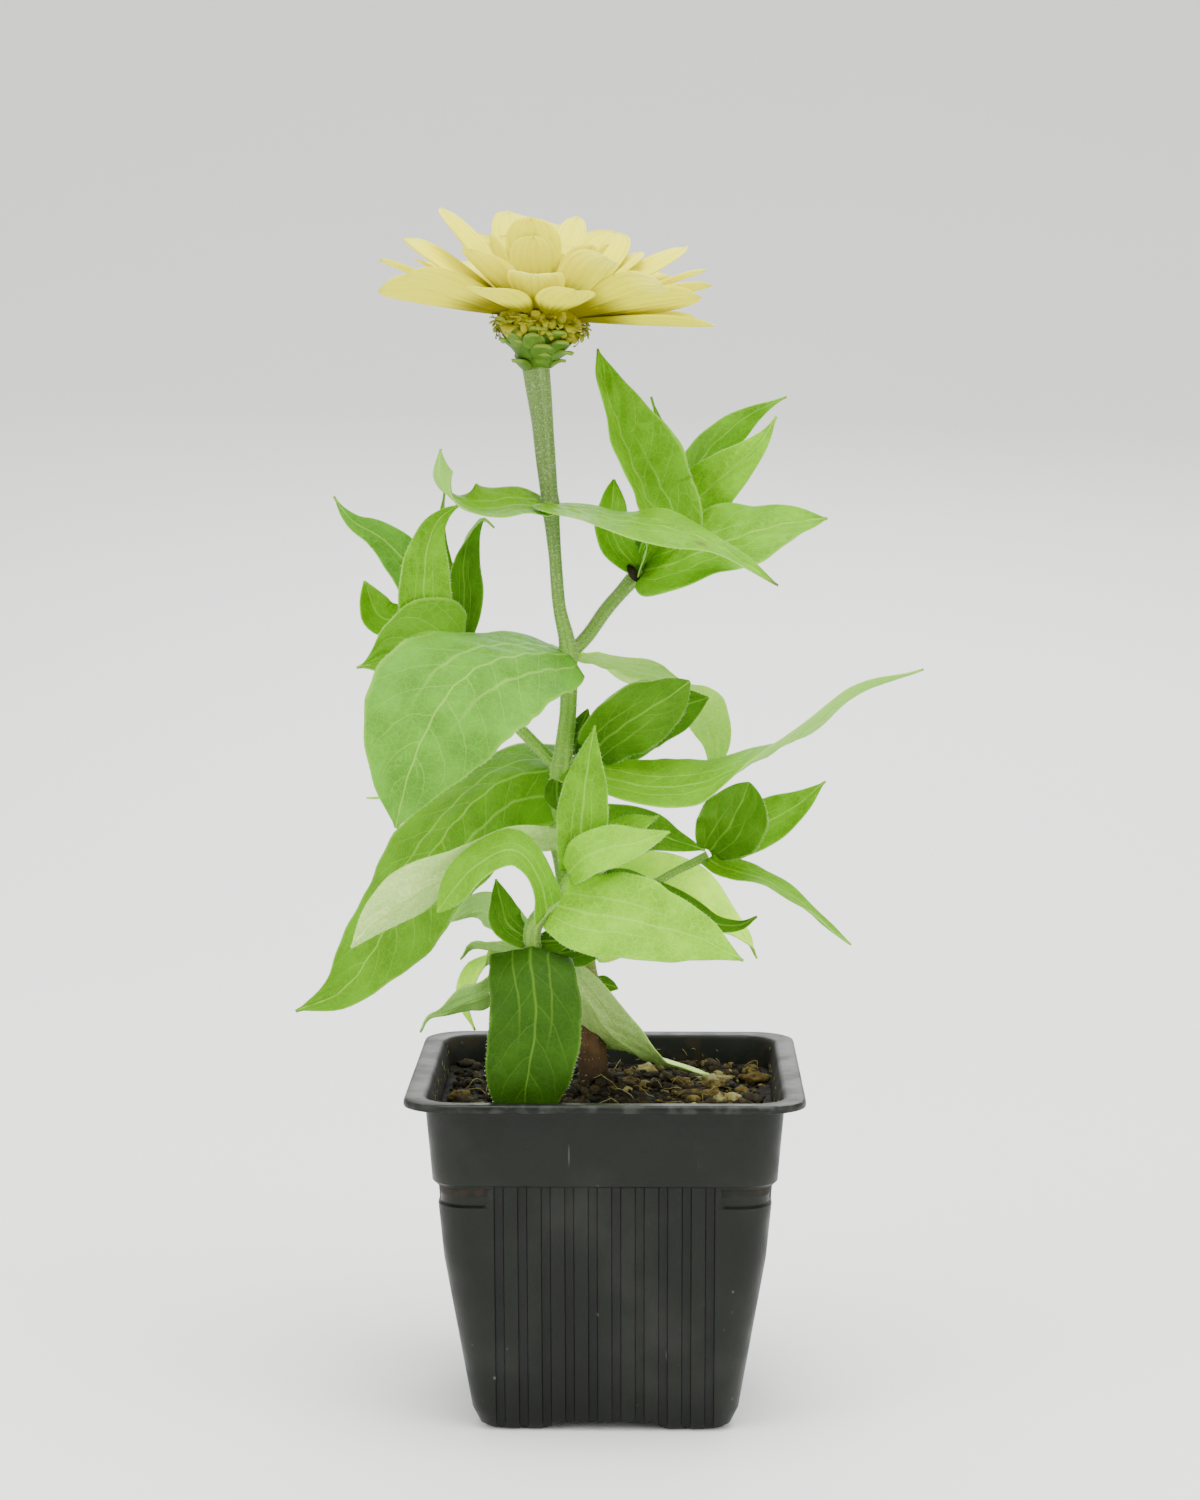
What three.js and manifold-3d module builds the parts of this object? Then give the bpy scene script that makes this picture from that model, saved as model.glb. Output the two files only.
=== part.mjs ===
// Potted zinnia: one leafy plant with a single yellow bloom, in a square plastic nursery pot.
// Millimetres, +Z up, +X to the right and -Y to the front. The origin is under the middle of
// the pot, at the height of its four feet.
import * as THREE from "three";
import { mergeGeometries, mergeVertices } from "three/addons/utils/BufferGeometryUtils.js";
import Module from "manifold-3d";

const wasm = await Module();
wasm.setup();

// Driving dimensions of the pot, for a 9 x 9 x 8 cm nursery pot
const POT_HEIGHT = 78.5;
const POT_WALL = 1.2;
const RIM_HALF = 45;
const RIM_CORNER = 10;
const RIM_THICKNESS = 1.6;
const BAND_BOTTOM = 59;
const FLOOR_TOP = 3.8;
const FOOT_HEIGHT = 2.2;
const ARCH_FOOT = 28;
const ARCH_TOP = 21;
const GROOVE_COUNT = 10;
const GROOVE_PITCH = 5.25;
const GROOVE_WIDTH = 2;
const GROOVE_DEPTH = 0.5;
const NOTCH_DEPTH = 0.6;
const NOTCH_LENGTH = 6;
const NOTCH_BOTTOM = 54;
const NOTCH_TOP = 58.2;
const DRAIN_RADIUS = 3.5;
const DRAIN_OFFSET = 14;

// Driving dimensions of the soil and the plant
const GAP = 0.35;
const SOIL_TOP = 71.5;
const LUMP_COUNT = 18;
const STEM_FOOT = 60;
const BLADE = 0.7;
const BIG_LEAF = 9;
const PETAL = 0.65;
const PETAL_ROWS = 4;
const TIP_HALF = 0.3;
const HEAD_BASE = [-16.2, 0, 240.4];
const HEAD_TILT = 4.5;
const FLORET_COUNT = 10;
const SEED = 20260;

// Outer half width and corner radius of the pot's body at each height
const BODY_PROFILE = [
  { z: 0, half: 27.2, corner: 5 },
  { z: 1, half: 28.7, corner: 5.6 },
  { z: 4.7, half: 30.4, corner: 6.5 },
  { z: 41, half: 36.4, corner: 7 },
  { z: BAND_BOTTOM - 0.6, half: 38, corner: 7 },
  { z: BAND_BOTTOM, half: 38.8, corner: 7.4 },
  { z: POT_HEIGHT - RIM_THICKNESS + 0.4, half: 40.4, corner: 8 },
];

// Centre line and radius of the main stem, from its foot in the soil to the flower head
const MAIN_STEM = {
  name: "main_stem",
  path: [
    [-2, 1, STEM_FOOT], [-3.5, 1, 82], [-5, 1, 96.5], [-7, 0, 110.5], [-9.5, 0, 124.5],
    [-11, 0, 136], [-10.5, 0, 148.5], [-9, 0, 162], [-9, 0, 176], [-11, 0, 186],
    [-12, 0, 198], [-13, 0, 209], [-14, 0, 219], [-15, 0, 230], [-16.2, 0, 240],
  ],
  radius: [3.7, 3.4, 3.4, 3, 2.6, 2.4, 2.3, 1.9, 1.9, 1.5, 1.5, 1.9, 2.2, 2.6, 3.1],
  sides: 8,
  steps: 20,
};

const SHOOT_STEMS = [
  {
    name: "right_shoot_stem",
    path: [[-8.5, 0, 175], [-4.5, 5, 179], [-0.5, 9, 184.5], [3, 11, 188.5], [7.5, 13, 193.5]],
    radius: [1.5, 1.6, 1.6, 1.6, 1.9],
  },
  {
    name: "left_shoot_stem",
    path: [[-10.5, 1, 147.5], [-15.5, 3, 152.5], [-21.5, 4, 158.5], [-28, 4, 165.5], [-36, 4, 173.5]],
    radius: [1.4, 1.4, 1.4, 1.4, 1.6],
  },
  {
    name: "front_shoot_stem",
    path: [
      [-5, 0, 97.5], [-10.5, -9, 102.5], [-16, -18, 108.5], [-16.5, -20, 114],
      [-14, -20, 118], [-10.5, -18.5, 121], [-7.5, -17.5, 126],
    ],
    radius: [1.8, 1.9, 2, 2, 1.9, 1.7, 1.6],
  },
  {
    name: "low_shoot_stem",
    path: [[-7, 1, 109], [0.5, 6, 114.5], [7.5, 8, 119], [12, 9, 121], [16.5, 9, 123.5], [23.5, 9, 127]],
    radius: [1.2, 1, 1, 0.9, 0.9, 1.1],
  },
  {
    name: "middle_shoot_stem",
    path: [[-9.5, 0, 149], [-6, -1.5, 151], [-3, -2, 152.5]],
    radius: [1.2, 1.2, 1.3],
  },
];

// Leaves. rib: the midrib from the stem to the tip. half: half the width at the widest.
// across: the way to the blade's right side, seen from above with the tip ahead, at even
// steps from base to tip. fold: how far both halves rise from flat, in degrees, at base and
// tip. shape: width at the base as a share, place of the widest, and taper of the tip.
const LANCE = [0.55, 0.4, 1.15];
const OVATE = [0.6, 0.35, 1];
const SLIM = [0.5, 0.35, 1.3];
const SMALL = [0.45, 0.5, 0.8];

const LEAVES = [
  {
    name: "top_right_leaf", half: 10.5, shape: LANCE, fold: [0, 4],
    rib: [[-14, -2, 209.5], [-6, -7, 208], [3, -11, 206], [12, -13, 204.5], [21, -13, 202],
      [29, -13, 198], [39, -11, 191.5]],
    across: [[0, -10, -1], [0, -9, -3], [0, -9, -4]],
  },
  {
    name: "top_left_leaf", half: 8, shape: LANCE, fold: [12, 20],
    rib: [[-14, -1, 208.5], [-21, -5, 209], [-29, -8, 208.5], [-34.5, -8, 210.5], [-38, -6, 216],
      [-38, -3, 222]],
    across: [[0, 9, 4], [0, 9, 4], [-9, 4, 2]],
  },
  {
    name: "upper_left_leaf", half: 18.3, shape: [0.38, 0.5, 1], fold: [-14, 6],
    rib: [[-8.5, -1.8, 175], [-17, -12, 176], [-27, -22, 174], [-34.5, -29, 168.5],
      [-40, -33, 159.5], [-44, -34, 149], [-46.5, -32, 138.5]],
    across: [[0, 9, 3], [-6, 6, 5], [-9, 1, 2], [-9, 0, 2]],
  },
  {
    name: "upper_back_leaf", half: 13, shape: OVATE, fold: [10, 5],
    rib: [[-8, 1.5, 175], [1.5, 12, 171], [11, 20, 166], [20.5, 26, 160.5], [25.5, 29, 152],
      [24.5, 29, 143]],
    across: [[5, -8, 0], [8, -5, 0]],
  },
  {
    name: "middle_left_leaf", half: 16, shape: [0.75, 0.4, 1.1], fold: [-25, 8],
    rib: [[-11.5, 1.8, 148], [-23.5, 4, 145.5], [-33.5, 5, 137.5], [-43, 6, 124.5],
      [-52.5, 7, 108.5], [-62, 7, 95.5], [-73.5, 7, 90]],
    across: [[0, 7, 7], [-4, 6, 6], [-4, 3, 7]],
  },
  {
    name: "middle_right_leaf", half: 9.5, shape: LANCE, fold: [10, 5],
    rib: [[-9, -1.8, 148], [0.5, -6, 146.5], [10.5, -9, 145], [21.5, -9, 146], [31, -9, 150],
      [44, -8, 157], [58, -6, 167], [72.5, -4, 172]],
    across: [[0, -9, -5], [0, -9, -5], [0, -9, 4], [0, -9, 4]],
  },
  {
    name: "lower_left_leaf", half: 9.2, shape: [0.5, 0.55, 1], fold: [8, 8],
    rib: [[-10.5, -2.2, 130.8], [-17, -9, 131.5], [-24, -14, 131], [-32.5, -18, 128],
      [-40, -20, 124], [-46.5, -20, 120], [-52, -19, 115.5], [-58, -17, 109]],
    across: [[-1, 8, -4], [-2, 7, -6], [6, 4, -6]],
  },
  {
    name: "hidden_left_leaf", half: 4.5, shape: SLIM, fold: [8, 8],
    rib: [[-11, 2.4, 131], [-20.5, 15, 134.5], [-32.5, 23, 137.5], [-44.5, 26, 138.5],
      [-58, 25, 138.5]],
    across: [[0, 9, 3], [0, 9, 3]],
  },
  {
    name: "lower_back_leaf", half: 7, shape: OVATE, fold: [8, 8],
    rib: [[-10, 2.3, 132], [-2, 10, 132], [7.5, 16, 132], [16, 20, 129], [23, 22, 126.5]],
    across: [[3, -6, -7], [1, -4, -9]],
  },

  {
    name: "right_shoot_leaf_1", half: 12.2, shape: [0.45, 0.38, 1], fold: [46, 36],
    rib: [[7.5, 13, 193], [11, 11, 205], [8.5, 10, 211.5], [5, 9, 220.5], [2, 9, 228.5],
      [-1, 10, 236.5], [-2.5, 12, 245]],
    across: [[8, 6, 1], [8, 6, 1]],
  },
  {
    name: "right_shoot_leaf_2", half: 7, shape: LANCE, fold: [12, 10],
    rib: [[8.8, 15.2, 194.5], [12, 19, 200], [17, 21, 211.5], [22, 21, 220], [28, 19, 226],
      [34, 16, 230.5], [41.5, 13, 234]],
    across: [[5, 7, -5], [5, 5, -6]],
  },
  {
    name: "right_shoot_leaf_3", half: 6.8, shape: LANCE, fold: [12, 10],
    rib: [[9.5, 14, 194.5], [13, 17.5, 199], [16, 19, 203.5], [22, 18, 211], [28, 14, 216.5],
      [33, 11, 221], [36.5, 9, 225], [39, 8, 229.5]],
    across: [[5, -1, -7], [6, -1, -6]],
  },
  {
    name: "right_shoot_leaf_4", half: 12.5, shape: [0.4, 0.42, 1], fold: [8, 5],
    rib: [[8.5, 11.7, 193.5], [15, 5, 195.5], [25, 4, 199.5], [35, 5, 203], [42.5, 7, 205],
      [51, 9, 206]],
    across: [[0, -8, -6], [0, -8, -6]],
  },
  {
    name: "right_shoot_leaf_5", half: 4.6, shape: SMALL, fold: [25, 15],
    rib: [[6.5, 12, 194.3], [2, 9, 200], [0.5, 7, 205.5], [1, 6, 210], [1.5, 7, 215]],
    across: [[9, 3, 1], [9, 3, 1]],
  },

  {
    name: "left_shoot_leaf_1", half: 6.5, shape: LANCE, fold: [20, 15],
    rib: [[-37.4, 3, 172.8], [-41.2, 0.5, 177], [-42, -1, 184], [-42, -2, 194], [-40.5, -2, 202.5],
      [-37.5, -1, 207], [-33.5, 0, 209.5]],
    across: [[9, 2, 0], [9, 2, 0]],
  },
  {
    name: "left_shoot_leaf_2", half: 4.8, shape: LANCE, fold: [40, 30],
    rib: [[-35.8, 5.4, 174.6], [-33.5, 6, 185], [-33.5, 6, 195.5], [-32.5, 6, 201],
      [-30.5, 5, 204.5], [-28.5, 4, 206], [-26, 3, 204]],
    across: [[9, 3, 0], [9, 3, 0], [0, 9, 0]],
  },
  {
    name: "left_shoot_leaf_3", half: 13, shape: [0.35, 0.4, 1.5], fold: [5, 10],
    rib: [[-34, 2.6, 171], [-33.5, -1.5, 173], [-35, -4, 174.5], [-41.5, -7, 176],
      [-47, -9, 175.5], [-52, -10, 174], [-57, -10, 172.5]],
    across: [[0, 3, 9], [-2, 4, 9]],
  },
  {
    name: "left_shoot_leaf_4", half: 5.6, shape: LANCE, fold: [10, 10],
    rib: [[-37, 5.5, 174.5], [-43.5, 9, 189], [-48.5, 10, 197], [-54, 10, 202], [-58.5, 9, 204.5],
      [-61.5, 8, 207.5], [-63.5, 7, 211]],
    across: [[5, 4, 5], [5, 4, 5]],
  },
  {
    name: "left_shoot_leaf_5", half: 4.5, shape: [0.25, 0.7, 0.9], fold: [15, 25],
    rib: [[-37.5, 6.5, 174.5], [-48, 9, 181], [-53, 8, 183], [-55, 7, 186.5], [-56.5, 6, 191.5]],
    across: [[5, 2, 7], [8, 3, 3]],
  },

  {
    name: "middle_shoot_leaf_1", half: 8, shape: [0.55, 0.5, 0.75], fold: [12, 8],
    rib: [[-3, -2.5, 152.5], [0.5, -5, 156.5], [7, -8, 161.5], [13.5, -9, 165.5], [19, -9, 169.5]],
    across: [[6, 2, -7], [6, 2, -7]],
  },
  {
    name: "middle_shoot_leaf_2", half: 8.5, shape: [0.5, 0.5, 0.85], fold: [12, 8],
    rib: [[-3.2, -0.9, 152.8], [-2, 2.5, 153.5], [0.5, 5, 155], [8.5, 6, 160.5], [17, 6, 162.5],
      [23.5, 5, 164.5]],
    across: [[6, 2, -7], [4, 1, -8]],
  },

  {
    name: "front_shoot_leaf_1", half: 6, shape: LANCE, fold: [15, 15],
    rib: [[-7.5, -16, 126.5], [-6, -16, 134], [-5, -17, 143.5], [-4, -17, 151.5], [-2.5, -16, 160]],
    across: [[9, 1, -1], [9, 0, -1]],
  },
  {
    name: "front_shoot_leaf_2", half: 5.6, shape: OVATE, fold: [12, 10],
    rib: [[-8.3, -18.5, 126.3], [-5, -21, 130], [0, -22, 132.5], [6.5, -23, 134],
      [14.5, -22, 136.5]],
    across: [[3, -5, -7], [3, -5, -7]],
  },
  {
    name: "front_shoot_leaf_3", half: 5, shape: LANCE, fold: [10, 10],
    rib: [[-6.8, -16.2, 126], [-1, -12, 131], [5.5, -12, 136], [12, -13, 139]],
    across: [[4, -4, -7], [4, -4, -7]],
  },
  {
    name: "front_shoot_leaf_4", half: 5.8, shape: [0.75, 0.65, 0.8], fold: [15, 8],
    rib: [[-13.5, -21, 117.5], [-14.5, -24, 123.5], [-17, -27, 129.5], [-20.5, -29, 133],
      [-25, -30, 132], [-29.5, -30, 129], [-33.5, -29, 124.5], [-37.5, -28, 119]],
    across: [[7, 7, 0], [0, 8, 6], [-7, 4, 5]],
  },
  {
    name: "front_shoot_leaf_5", half: 10.4, shape: OVATE, fold: [10, 5],
    rib: [[-11.5, -20, 119.5], [-3.5, -24, 118], [4, -27, 117.5], [11, -28, 116], [20, -27, 113.5],
      [31, -24, 107.5]],
    across: [[0, -5, -8], [0, -5, -8]],
  },
  {
    name: "front_shoot_leaf_6", half: 10.3, shape: [0.85, 0.6, 0.25], fold: [-12, 6],
    rib: [[-16.3, -19.8, 109.5], [-17, -23.5, 109.5], [-16.5, -29, 106], [-15.5, -33, 100],
      [-15.5, -35, 93.5], [-16.5, -36, 87], [-17.5, -35.5, 81], [-18, -34, 74.8]],
    across: [[-9, 0, 0], [-9, 0, 0]],
  },
  {
    name: "front_shoot_leaf_7", half: 6.5, shape: LANCE, fold: [8, 12],
    rib: [[-11, -11.5, 104], [-4, -9, 95], [0, -5, 88], [6.5, -1, 82], [11, 3, 79], [17.5, 6, 77],
      [24, 11, 74.5]],
    across: [[7, -4, 5], [6, -6, 3], [1, -9, -4]],
  },
  {
    name: "front_shoot_leaf_8", half: 5.6, shape: [0.55, 0.35, 1.8], fold: [5, 5],
    rib: [[-17, -18.5, 107.5], [-26.5, -20, 99.5], [-32, -19, 97], [-36.5, -18, 94.5],
      [-40.5, -17, 93], [-42.5, -16, 89.5]],
    across: [[0, 7, -7], [0, 7, -7]],
  },
  {
    name: "front_shoot_leaf_9", half: 5, shape: LANCE, fold: [5, 5],
    rib: [[-12.5, -11, 105], [-18, -5, 105.5], [-25, 4, 103.5], [-31.5, 6, 99.5], [-34, 6, 93],
      [-31, 5, 86]],
    across: [[0, 8, -4], [-7, 4, 0]],
  },
  {
    name: "front_shoot_leaf_10", half: 6.5, shape: LANCE, fold: [5, 5],
    rib: [[-16.5, -17.5, 111.5], [-24.5, -12, 115.5], [-30, -10, 117], [-36, -9, 114]],
    across: [[0, 6, -8], [0, 6, -8]],
  },
  {
    name: "front_shoot_leaf_11", half: 4.2, shape: OVATE, fold: [15, 15],
    rib: [[-17.5, -19, 111], [-22.5, -18.5, 115], [-24, -18, 120.5], [-25, -17, 125]],
    across: [[9, 3, 1], [9, 3, 1]],
  },
  {
    name: "front_shoot_leaf_12", half: 4.5, shape: OVATE, fold: [10, 10],
    rib: [[-10, -17.5, 121], [-1.5, -13, 122], [5.5, -11, 123.5], [12.5, -9, 122]],
    across: [[0, -5, -8], [0, -5, -8]],
  },
  {
    name: "front_shoot_leaf_13", half: 4.2, shape: OVATE, fold: [10, 10],
    rib: [[-13, -16, 107.5], [-8.5, -14, 107.5], [-3, -12, 108], [1.5, -11, 110]],
    across: [[0, -6, -7], [0, -6, -7]],
  },

  {
    name: "low_shoot_leaf_1", half: 8.5, shape: [0.4, 0.5, 0.7], fold: [20, 12],
    rib: [[24, 8.4, 128.3], [28, 5, 134], [31, 3, 140], [33, 3, 145]],
    across: [[9, 1, -4], [9, 1, -4]],
  },
  {
    name: "low_shoot_leaf_2", half: 6, shape: LANCE, fold: [10, 10],
    rib: [[24.2, 9.8, 127.3], [31, 10.5, 131], [37, 10, 134.5], [44, 9.5, 138.5], [51, 9, 144.5]],
    across: [[3, -4, -7], [3, -4, -7]],
  },
  {
    name: "low_shoot_leaf_3", half: 4, shape: [0.8, 0.15, 0.7], fold: [15, 15],
    rib: [[23.4, 8, 126], [26.3, 6.4, 124.4], [30, 5, 123.5], [34.5, 3, 122.5], [39, 2, 120.5],
      [45.5, 0, 116.5], [51, -2, 112], [56.5, -4, 108]],
    across: [[0, -8, -5], [0, -9, -2]],
  },
  {
    name: "low_shoot_leaf_4", half: 12, shape: OVATE, fold: [5, 5],
    rib: [[-6.5, 2.8, 108], [3, 16, 113.5], [13.5, 24, 116], [24, 29, 112], [33, 31, 104],
      [36, 31, 99]],
    across: [[2, -5, -8], [4, -3, -7]],
  },
];

// Leaflets too small to stand alone, grown together with the stem that carries them
const LEAFLETS = {
  main_stem: [
    {
      half: 2.5, shape: SMALL, fold: [10, 10],
      rib: [[-8, 1.5, 151.5], [-6.5, 3.5, 157], [-4.5, 3, 162]],
      across: [[9, 2, 0]],
    },
    {
      half: 3, shape: SMALL, fold: [10, 10],
      rib: [[-11.5, -1.5, 146], [-11.5, -4, 143], [-11, -3.8, 139]],
      across: [[-9, 0, 0]],
    },
    {
      half: 2.3, shape: SMALL, fold: [10, 10],
      rib: [[-4, 3, 95.5], [-1.5, 4.5, 97], [2.5, 5, 96]],
      across: [[0, -6, -7]],
    },
  ],
  right_shoot_stem: [
    {
      half: 4, shape: SLIM, fold: [10, 10],
      rib: [[7.5, 13.5, 193], [11, 24, 207], [13, 27, 222.5], [10, 26, 234]],
      across: [[9, 3, 0]],
    },
  ],
  left_shoot_stem: [
    {
      half: 3.2, shape: SLIM, fold: [10, 10],
      rib: [[-36, 4.5, 173], [-37.5, 11, 186], [-39.5, 14, 200], [-38, 11, 212]],
      across: [[9, 2, 0]],
    },
  ],
  front_shoot_stem: [
    {
      half: 3, shape: SMALL, fold: [10, 10],
      rib: [[-8, -16.5, 123.5], [-3, -15.5, 123.5], [1, -15, 125]],
      across: [[2, -5, -7]],
    },
    {
      half: 2.5, shape: SMALL, fold: [10, 10],
      rib: [[-16, -17.5, 108], [-23, -12, 98], [-27, -9, 87.5]],
      across: [[-9, 3, 0]],
    },
    {
      half: 3.2, shape: SMALL, fold: [10, 10],
      rib: [[-15.5, -17, 107.5], [-25, -7, 107], [-31, -3, 107], [-34, -2, 104]],
      across: [[0, 8, -4]],
    },
    {
      half: 3, shape: SMALL, fold: [10, 10],
      rib: [[-16, -18, 110.5], [-11, -18.5, 111], [-7, -18, 112.5]],
      across: [[0, -5, -7]],
    },
  ],
  low_shoot_stem: [
    {
      half: 2.2, shape: SMALL, fold: [10, 10],
      rib: [[11, 8, 120.5], [19.5, 6, 115.5], [25, 5, 111.5], [31, 5, 111], [35, 6, 113]],
      across: [[0, -5, -8]],
    },
  ],
};

// Ray petals that give the bloom its outline. turn: the way it points, anticlockwise from
// the right. rise: its slope. curl and hook: the change of slope along it and at its tip.
// roll: how far it leans about its own length. All in degrees.
const OUTLINE_PETALS = [
  { turn: 197, rise: 9, curl: -4, hook: -12, length: 31, half: 6, roll: 26 },
  { turn: 213, rise: 13, curl: 0, hook: 0, length: 29, half: 6, roll: 16 },
  { turn: 238, rise: 28, curl: 0, hook: 0, length: 26, half: 6, roll: -10 },
  { turn: 248, rise: 10, curl: 0, hook: 0, length: 26, half: 5.5, roll: 0 },
  { turn: 268, rise: 18, curl: 12, hook: -40, length: 26, half: 5.6, roll: 0 },
  { turn: 256, rise: 62, curl: 8, hook: 0, length: 21, half: 5.8, roll: 0 },
  { turn: 285, rise: 12, curl: 0, hook: 0, length: 26, half: 5.5, roll: 0 },
  { turn: 301, rise: 31, curl: 8, hook: -40, length: 26, half: 5.2, roll: -14 },
  { turn: 328, rise: 20, curl: 0, hook: -30, length: 28, half: 5.4, roll: -24 },
  { turn: 340, rise: 12, curl: 0, hook: 0, length: 32, half: 5.2, roll: -22 },
  { turn: 349, rise: 2, curl: 0, hook: 0, length: 33, half: 4.4, roll: -8 },
  { turn: 356, rise: 17, curl: 0, hook: 0, length: 33, half: 5, roll: -10 },
  { turn: 7, rise: 22, curl: 2, hook: 0, length: 33, half: 4.6, roll: 0 },
  { turn: 23, rise: 30, curl: 4, hook: 0, length: 34, half: 4.6, roll: 10 },
  { turn: 57, rise: 40, curl: 4, hook: 0, length: 30, half: 6.8, roll: 8 },
  { turn: 74, rise: 52, curl: 2, hook: 0, length: 28, half: 3.4, roll: 0 },
  { turn: 92, rise: 50, curl: 4, hook: 0, length: 26, half: 6, roll: 0 },
  { turn: 113, rise: 47, curl: 4, hook: 0, length: 30, half: 5.6, roll: 0 },
  { turn: 134, rise: 38, curl: 4, hook: 0, length: 27, half: 5.6, roll: 0 },
  { turn: 151, rise: 43, curl: 0, hook: 0, length: 32, half: 5, roll: 0 },
  { turn: 167, rise: 27, curl: 2, hook: 0, length: 31, half: 6, roll: -8 },
  { turn: 182, rise: 17, curl: 0, hook: 0, length: 32, half: 5, roll: 0 },
];

// Rings of ray petals between them, each over a span of turn
const PETAL_RINGS = [
  { count: 6, from: 12, to: 172, rise: 8, length: 29, half: 6.4 },
  { count: 5, from: 30, to: 156, rise: 25, length: 30, half: 6.6 },
  { count: 4, from: 38, to: 144, rise: 40, length: 26, half: 6.2 },
  { count: 6, from: 10, to: 318, rise: 60, length: 18, half: 5.4 },
  { count: 3, from: 40, to: 310, rise: 74, length: 12, half: 4.6 },
];

// Colours
const GREEN = new THREE.MeshStandardMaterial({ color: 0x6f9a3c, roughness: 0.55, metalness: 0 });
const LIGHT_GREEN = new THREE.MeshStandardMaterial({ color: 0x93bd57, roughness: 0.55, metalness: 0 });
const STEM_GREEN = new THREE.MeshStandardMaterial({ color: 0x7d9b52, roughness: 0.6, metalness: 0 });
const BRACT_GREEN = new THREE.MeshStandardMaterial({ color: 0x75923f, roughness: 0.6, metalness: 0 });
const YELLOW = new THREE.MeshStandardMaterial({ color: 0xf1e98a, roughness: 0.6, metalness: 0 });
const DISC_GOLD = new THREE.MeshStandardMaterial({ color: 0xa98a2a, roughness: 0.8, metalness: 0 });
const BLACK_PLASTIC = new THREE.MeshStandardMaterial({ color: 0x32342f, roughness: 0.45, metalness: 0 });
const PEAT = new THREE.MeshStandardMaterial({ color: 0x2c241a, roughness: 0.95, metalness: 0 });

// Helpers

const radians = (degrees) => (degrees * Math.PI) / 180;
const mix = (a, b, share) => a + (b - a) * share;

// A repeatable stream of numbers from 0 to 1
class Draws {
  constructor(seed) {
    this.state = seed;
  }

  next() {
    this.state = (this.state * 16807) % 2147483647;
    return this.state / 2147483647;
  }

  between(low, high) {
    return mix(low, high, this.next());
  }
}

// A smooth curve through a list of points
function smoothCurve(points) {
  return new THREE.CatmullRomCurve3(points.map((p) => new THREE.Vector3(...p)), false, "catmullrom", 0.5);
}

function toSolid(geometry) {
  const bare = new THREE.BufferGeometry();
  bare.setAttribute("position", geometry.getAttribute("position").clone());
  if (geometry.index) {
    bare.setIndex(geometry.index.clone());
  }
  const merged = mergeVertices(bare, 1e-4);
  return new wasm.Manifold(
    new wasm.Mesh({
      numProp: 3,
      vertProperties: new Float32Array(merged.getAttribute("position").array),
      triVerts: new Uint32Array(merged.index.array),
    }),
  );
}

function toGeometry(solid) {
  const mesh = solid.getMesh();
  const geometry = new THREE.BufferGeometry();
  geometry.setAttribute("position", new THREE.BufferAttribute(new Float32Array(mesh.vertProperties), 3));
  geometry.setIndex(new THREE.BufferAttribute(new Uint32Array(mesh.triVerts), 1));
  return geometry;
}

// The largest of the pieces that a cut leaves
function largestPiece(solid) {
  const pieces = solid.decompose();
  return pieces.reduce((best, piece) => (piece.volume() > best.volume() ? piece : best));
}

function joinAll(solids) {
  return solids.reduce((whole, piece) => whole.add(piece));
}

// A closed skin over rings of points that all have the same count
function loft(rings) {
  const count = rings[0].length;
  const points = rings.flat();
  const faces = [];
  for (let r = 0; r < rings.length - 1; r += 1) {
    for (let i = 0; i < count; i += 1) {
      const a = r * count + i;
      const b = r * count + ((i + 1) % count);
      faces.push(a, b, b + count, a, b + count, a + count);
    }
  }
  const centre = (ring) => ring.reduce((sum, p) => sum.add(p), new THREE.Vector3()).divideScalar(count);
  const low = points.length;
  const top = (rings.length - 1) * count;
  points.push(centre(rings[0]), centre(rings[rings.length - 1]));
  for (let i = 0; i < count; i += 1) {
    const next = (i + 1) % count;
    faces.push(low, next, i);
    faces.push(low + 1, top + i, top + next);
  }
  const geometry = new THREE.BufferGeometry().setFromPoints(points);
  geometry.setIndex(faces);
  return geometry;
}

// Pot

function roundedSquare(half, corner, z, arcSteps = 3) {
  const ring = [];
  const middle = half - corner;
  const corners = [[middle, middle], [-middle, middle], [-middle, -middle], [middle, -middle]];
  corners.forEach(([x, y], quarter) => {
    for (let i = 0; i <= arcSteps; i += 1) {
      const angle = (quarter + i / arcSteps) * (Math.PI / 2);
      ring.push(new THREE.Vector3(x + corner * Math.cos(angle), y + corner * Math.sin(angle), z));
    }
  });
  return ring;
}

function squareLoft(levels) {
  return toSolid(loft(levels.map(({ half, corner, z }) => roundedSquare(half, corner, z))));
}

function box(sizeX, sizeY, sizeZ, x, y, z) {
  const geometry = new THREE.BoxGeometry(sizeX, sizeY, sizeZ);
  geometry.translate(x, y, z);
  return toSolid(geometry);
}

// Half width of the body's outside at a height, between the levels of its profile
function bodyHalf(z) {
  const upper = BODY_PROFILE.findIndex((level) => level.z >= z);
  const high = BODY_PROFILE[upper];
  const low = BODY_PROFILE[upper - 1];
  return mix(low.half, high.half, (z - low.z) / (high.z - low.z));
}

function potCavity() {
  const inset = POT_WALL;
  const levels = [{ z: FLOOR_TOP, half: bodyHalf(FLOOR_TOP) - inset - 1, corner: 5 }];
  for (const level of BODY_PROFILE.filter(({ z }) => z > FLOOR_TOP + 1)) {
    levels.push({ z: level.z, half: level.half - inset, corner: level.corner - 1 });
  }
  levels.push({ z: POT_HEIGHT + 1, half: 41, corner: 8 });
  return levels;
}

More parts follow.
